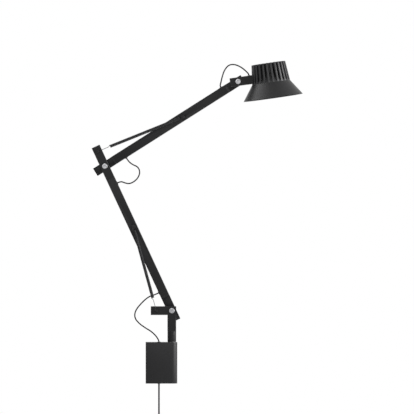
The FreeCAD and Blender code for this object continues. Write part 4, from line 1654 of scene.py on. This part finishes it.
@dataclass
class Springs:
    """Both balance springs.

    Attributes:
        layout: The lamp's pivots.
        lift: Bar's face to the springs' axes.
        lever_pin: Shoulder to the lever's pin.
        tail_pin: Elbow to the tail's pin.
        anchor: Pivot to the anchor pin on each arm.
        anchor_across: The arm's middle line to the anchor pin.
    """

    layout: Layout
    lift: float = 0.0043
    lever_pin: float = 0.0356
    tail_pin: float = 0.0375
    anchor: float = 0.212
    anchor_across: float = -0.0012

    def build(self, material: bpy.types.Material) -> None:
        """Makes both springs.

        Args:
            material: The wire's finish.
        """
        spot = self.layout
        deep = -(spot.half_bar + self.lift)
        tail = spot.lower_pitch + self.tail_pin
        lower_hook = spot.shoulder + Vector((-self.lever_pin, deep, 0.0))
        lower_anchor = spot.place(spot.shoulder, spot.lower_angle, self.anchor, self.anchor_across, deep)
        upper_hook = spot.place(spot.shoulder, spot.lower_angle, tail, 0.0, deep)
        upper_anchor = spot.place(spot.elbow, spot.upper_angle, self.anchor, self.anchor_across, deep)
        for spring in (
                BalanceSpring("lower_spring", lower_hook, lower_anchor, Body.SWIVEL, Body.LOWER_ARM),
                BalanceSpring("upper_spring", upper_hook, upper_anchor, Body.LOWER_ARM, Body.UPPER_ARM)):
            spring.build(material)


@dataclass(frozen=True)
class SoftLamp:
    """A soft square lamp.

    Attributes:
        name: Its name.
        place: Where it stands.
        side: Its width and height.
        power: Its power in watts.
    """

    name: str
    place: Place
    side: float
    power: float

    def build(self, aim: Vector) -> None:
        """Sets up the lamp.

        Args:
            aim: The place that it faces.
        """
        data = bpy.data.lights.new(self.name, "AREA")
        data.shape = "SQUARE"
        data.size = self.side
        data.energy = self.power
        lamp = linked(self.name, data)
        lamp.location = self.place
        lamp.rotation_euler = (aim - Vector(self.place)).to_track_quat("-Z", "Y").to_euler()


@dataclass
class Studio:
    """Camera, lamps, world and floor.

    Attributes:
        view_width: Width of the photograph's view at the lamp.
        centre: Middle of the view.
        distance: Camera to the lamp.
        sensor: Width of the camera's sensor, in its own millimetres.
        floor_z: Height of the floor.
        floor_radius: Its radius.
        floor_colour: Its colour.
        floor_roughness: Its roughness.
        soft_light: Strength of the white world where it lights the lamp.
        full_light: Its strength to the camera and in reflections.
        lamps: The lamps.
    """

    view_width: float = 0.9522
    centre: Place = (0.1409, 0.0, 0.3582)
    distance: float = 10.0
    sensor: float = 36.0
    floor_z: float = -0.30
    floor_radius: float = 2.6
    floor_colour: Colour = (0.8, 0.8, 0.8)
    floor_roughness: float = 0.85
    soft_light: float = 0.45
    full_light: float = 1.0
    lamps: tuple[SoftLamp, ...] = (
        SoftLamp("right_lamp", (2.05, -0.55, 0.7), side=1.7, power=92.0),
        SoftLamp("front_lamp", (-0.3, -2.8, 1.3), side=1.4, power=16.0),
        SoftLamp("high_left_lamp", (-0.75, 0.46, 2.2), side=1.4, power=31.0))

    def _camera(self) -> None:
        """A long lens square to the arms' plane, as in the photograph."""
        data = bpy.data.cameras.new("camera")
        data.sensor_width = self.sensor
        data.lens = self.sensor * self.distance / self.view_width
        camera = linked("camera", data)
        camera.location = Vector(self.centre) - Vector((0.0, self.distance, 0.0))
        camera.rotation_euler = (RIGHT_ANGLE, 0.0, 0.0)
        bpy.context.scene.camera = camera

    def _world(self) -> None:
        """White to the camera and in reflections, and soft on the object."""
        world = bpy.data.worlds.new("studio")
        world.use_nodes = True
        tree = Tree(world.node_tree)
        rays = tree.add("LightPath").outputs
        mirrored = tree.paired(Pairing.LARGER, rays["Is Glossy Ray"], rays["Is Transmission Ray"])
        soft = tree.mixed(MixOf.NUMBERS, mirrored, self.soft_light, self.full_light)
        seen = tree.mixed(MixOf.NUMBERS, rays["Is Camera Ray"], soft, self.full_light)
        background = tree.nodes["Background"]
        tree.feed(background.inputs["Color"], (1.0, 1.0, 1.0, 1.0))
        tree.feed(background.inputs["Strength"], seen)
        bpy.context.scene.world = world

    def _floor(self) -> None:
        """A plain pale floor that keeps the lamp's soft shadow."""
        shape = bmesh.new()
        bmesh.ops.create_circle(shape, segments=96, radius=self.floor_radius, cap_ends=True)
        bmesh.ops.translate(shape, verts=shape.verts[:], vec=(self.centre[0], 0.0, self.floor_z))
        surface = Surface("pale_floor", self.floor_roughness, PLAIN_SPECULAR)
        surface.drive("Base Color", (*self.floor_colour, 1.0))
        floor = mesh_piece("floor", shape, surface.material, smooth=False)

    def build(self) -> None:
        """Sets up the studio."""
        self._camera()
        self._world()
        self._floor()
        for lamp in self.lamps:
            lamp.build(Vector(self.centre))
        bpy.context.scene.view_settings.view_transform = "Standard"
        log.info("studio ready")


def main() -> None:
    """Builds the finishes, the studio and the lamp in order."""
    logging.basicConfig(level=logging.INFO, format="%(name)s: %(message)s")
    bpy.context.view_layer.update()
    layout = Layout()
    palette = Palette(layout)
    palette.build()
    Studio().build()
    SupplyLead().build(palette)
    Loops(layout).build(palette["sheath_rubber"])
    Springs(layout).build(palette["blackened_wire"])
    WallUnit().build(palette)
    SwivelUnit().build(palette)
    Arm(Body.LOWER_ARM, ("foot", "tail"), ("lower_anchor_pin", "tail_pin")).build(palette)
    Arm(Body.UPPER_ARM, ("foot", "tip"), ("upper_anchor_pin",)).build(palette)
    Pivot("shoulder", Body.SWIVEL, Body.LOWER_ARM).build(palette)
    Pivot("elbow", Body.LOWER_ARM, Body.UPPER_ARM).build(palette)
    Pivot("head", Body.HEAD, Body.UPPER_ARM).build(palette)
    HeadUnit().build(palette)


if __name__ == "__main__":
    main()
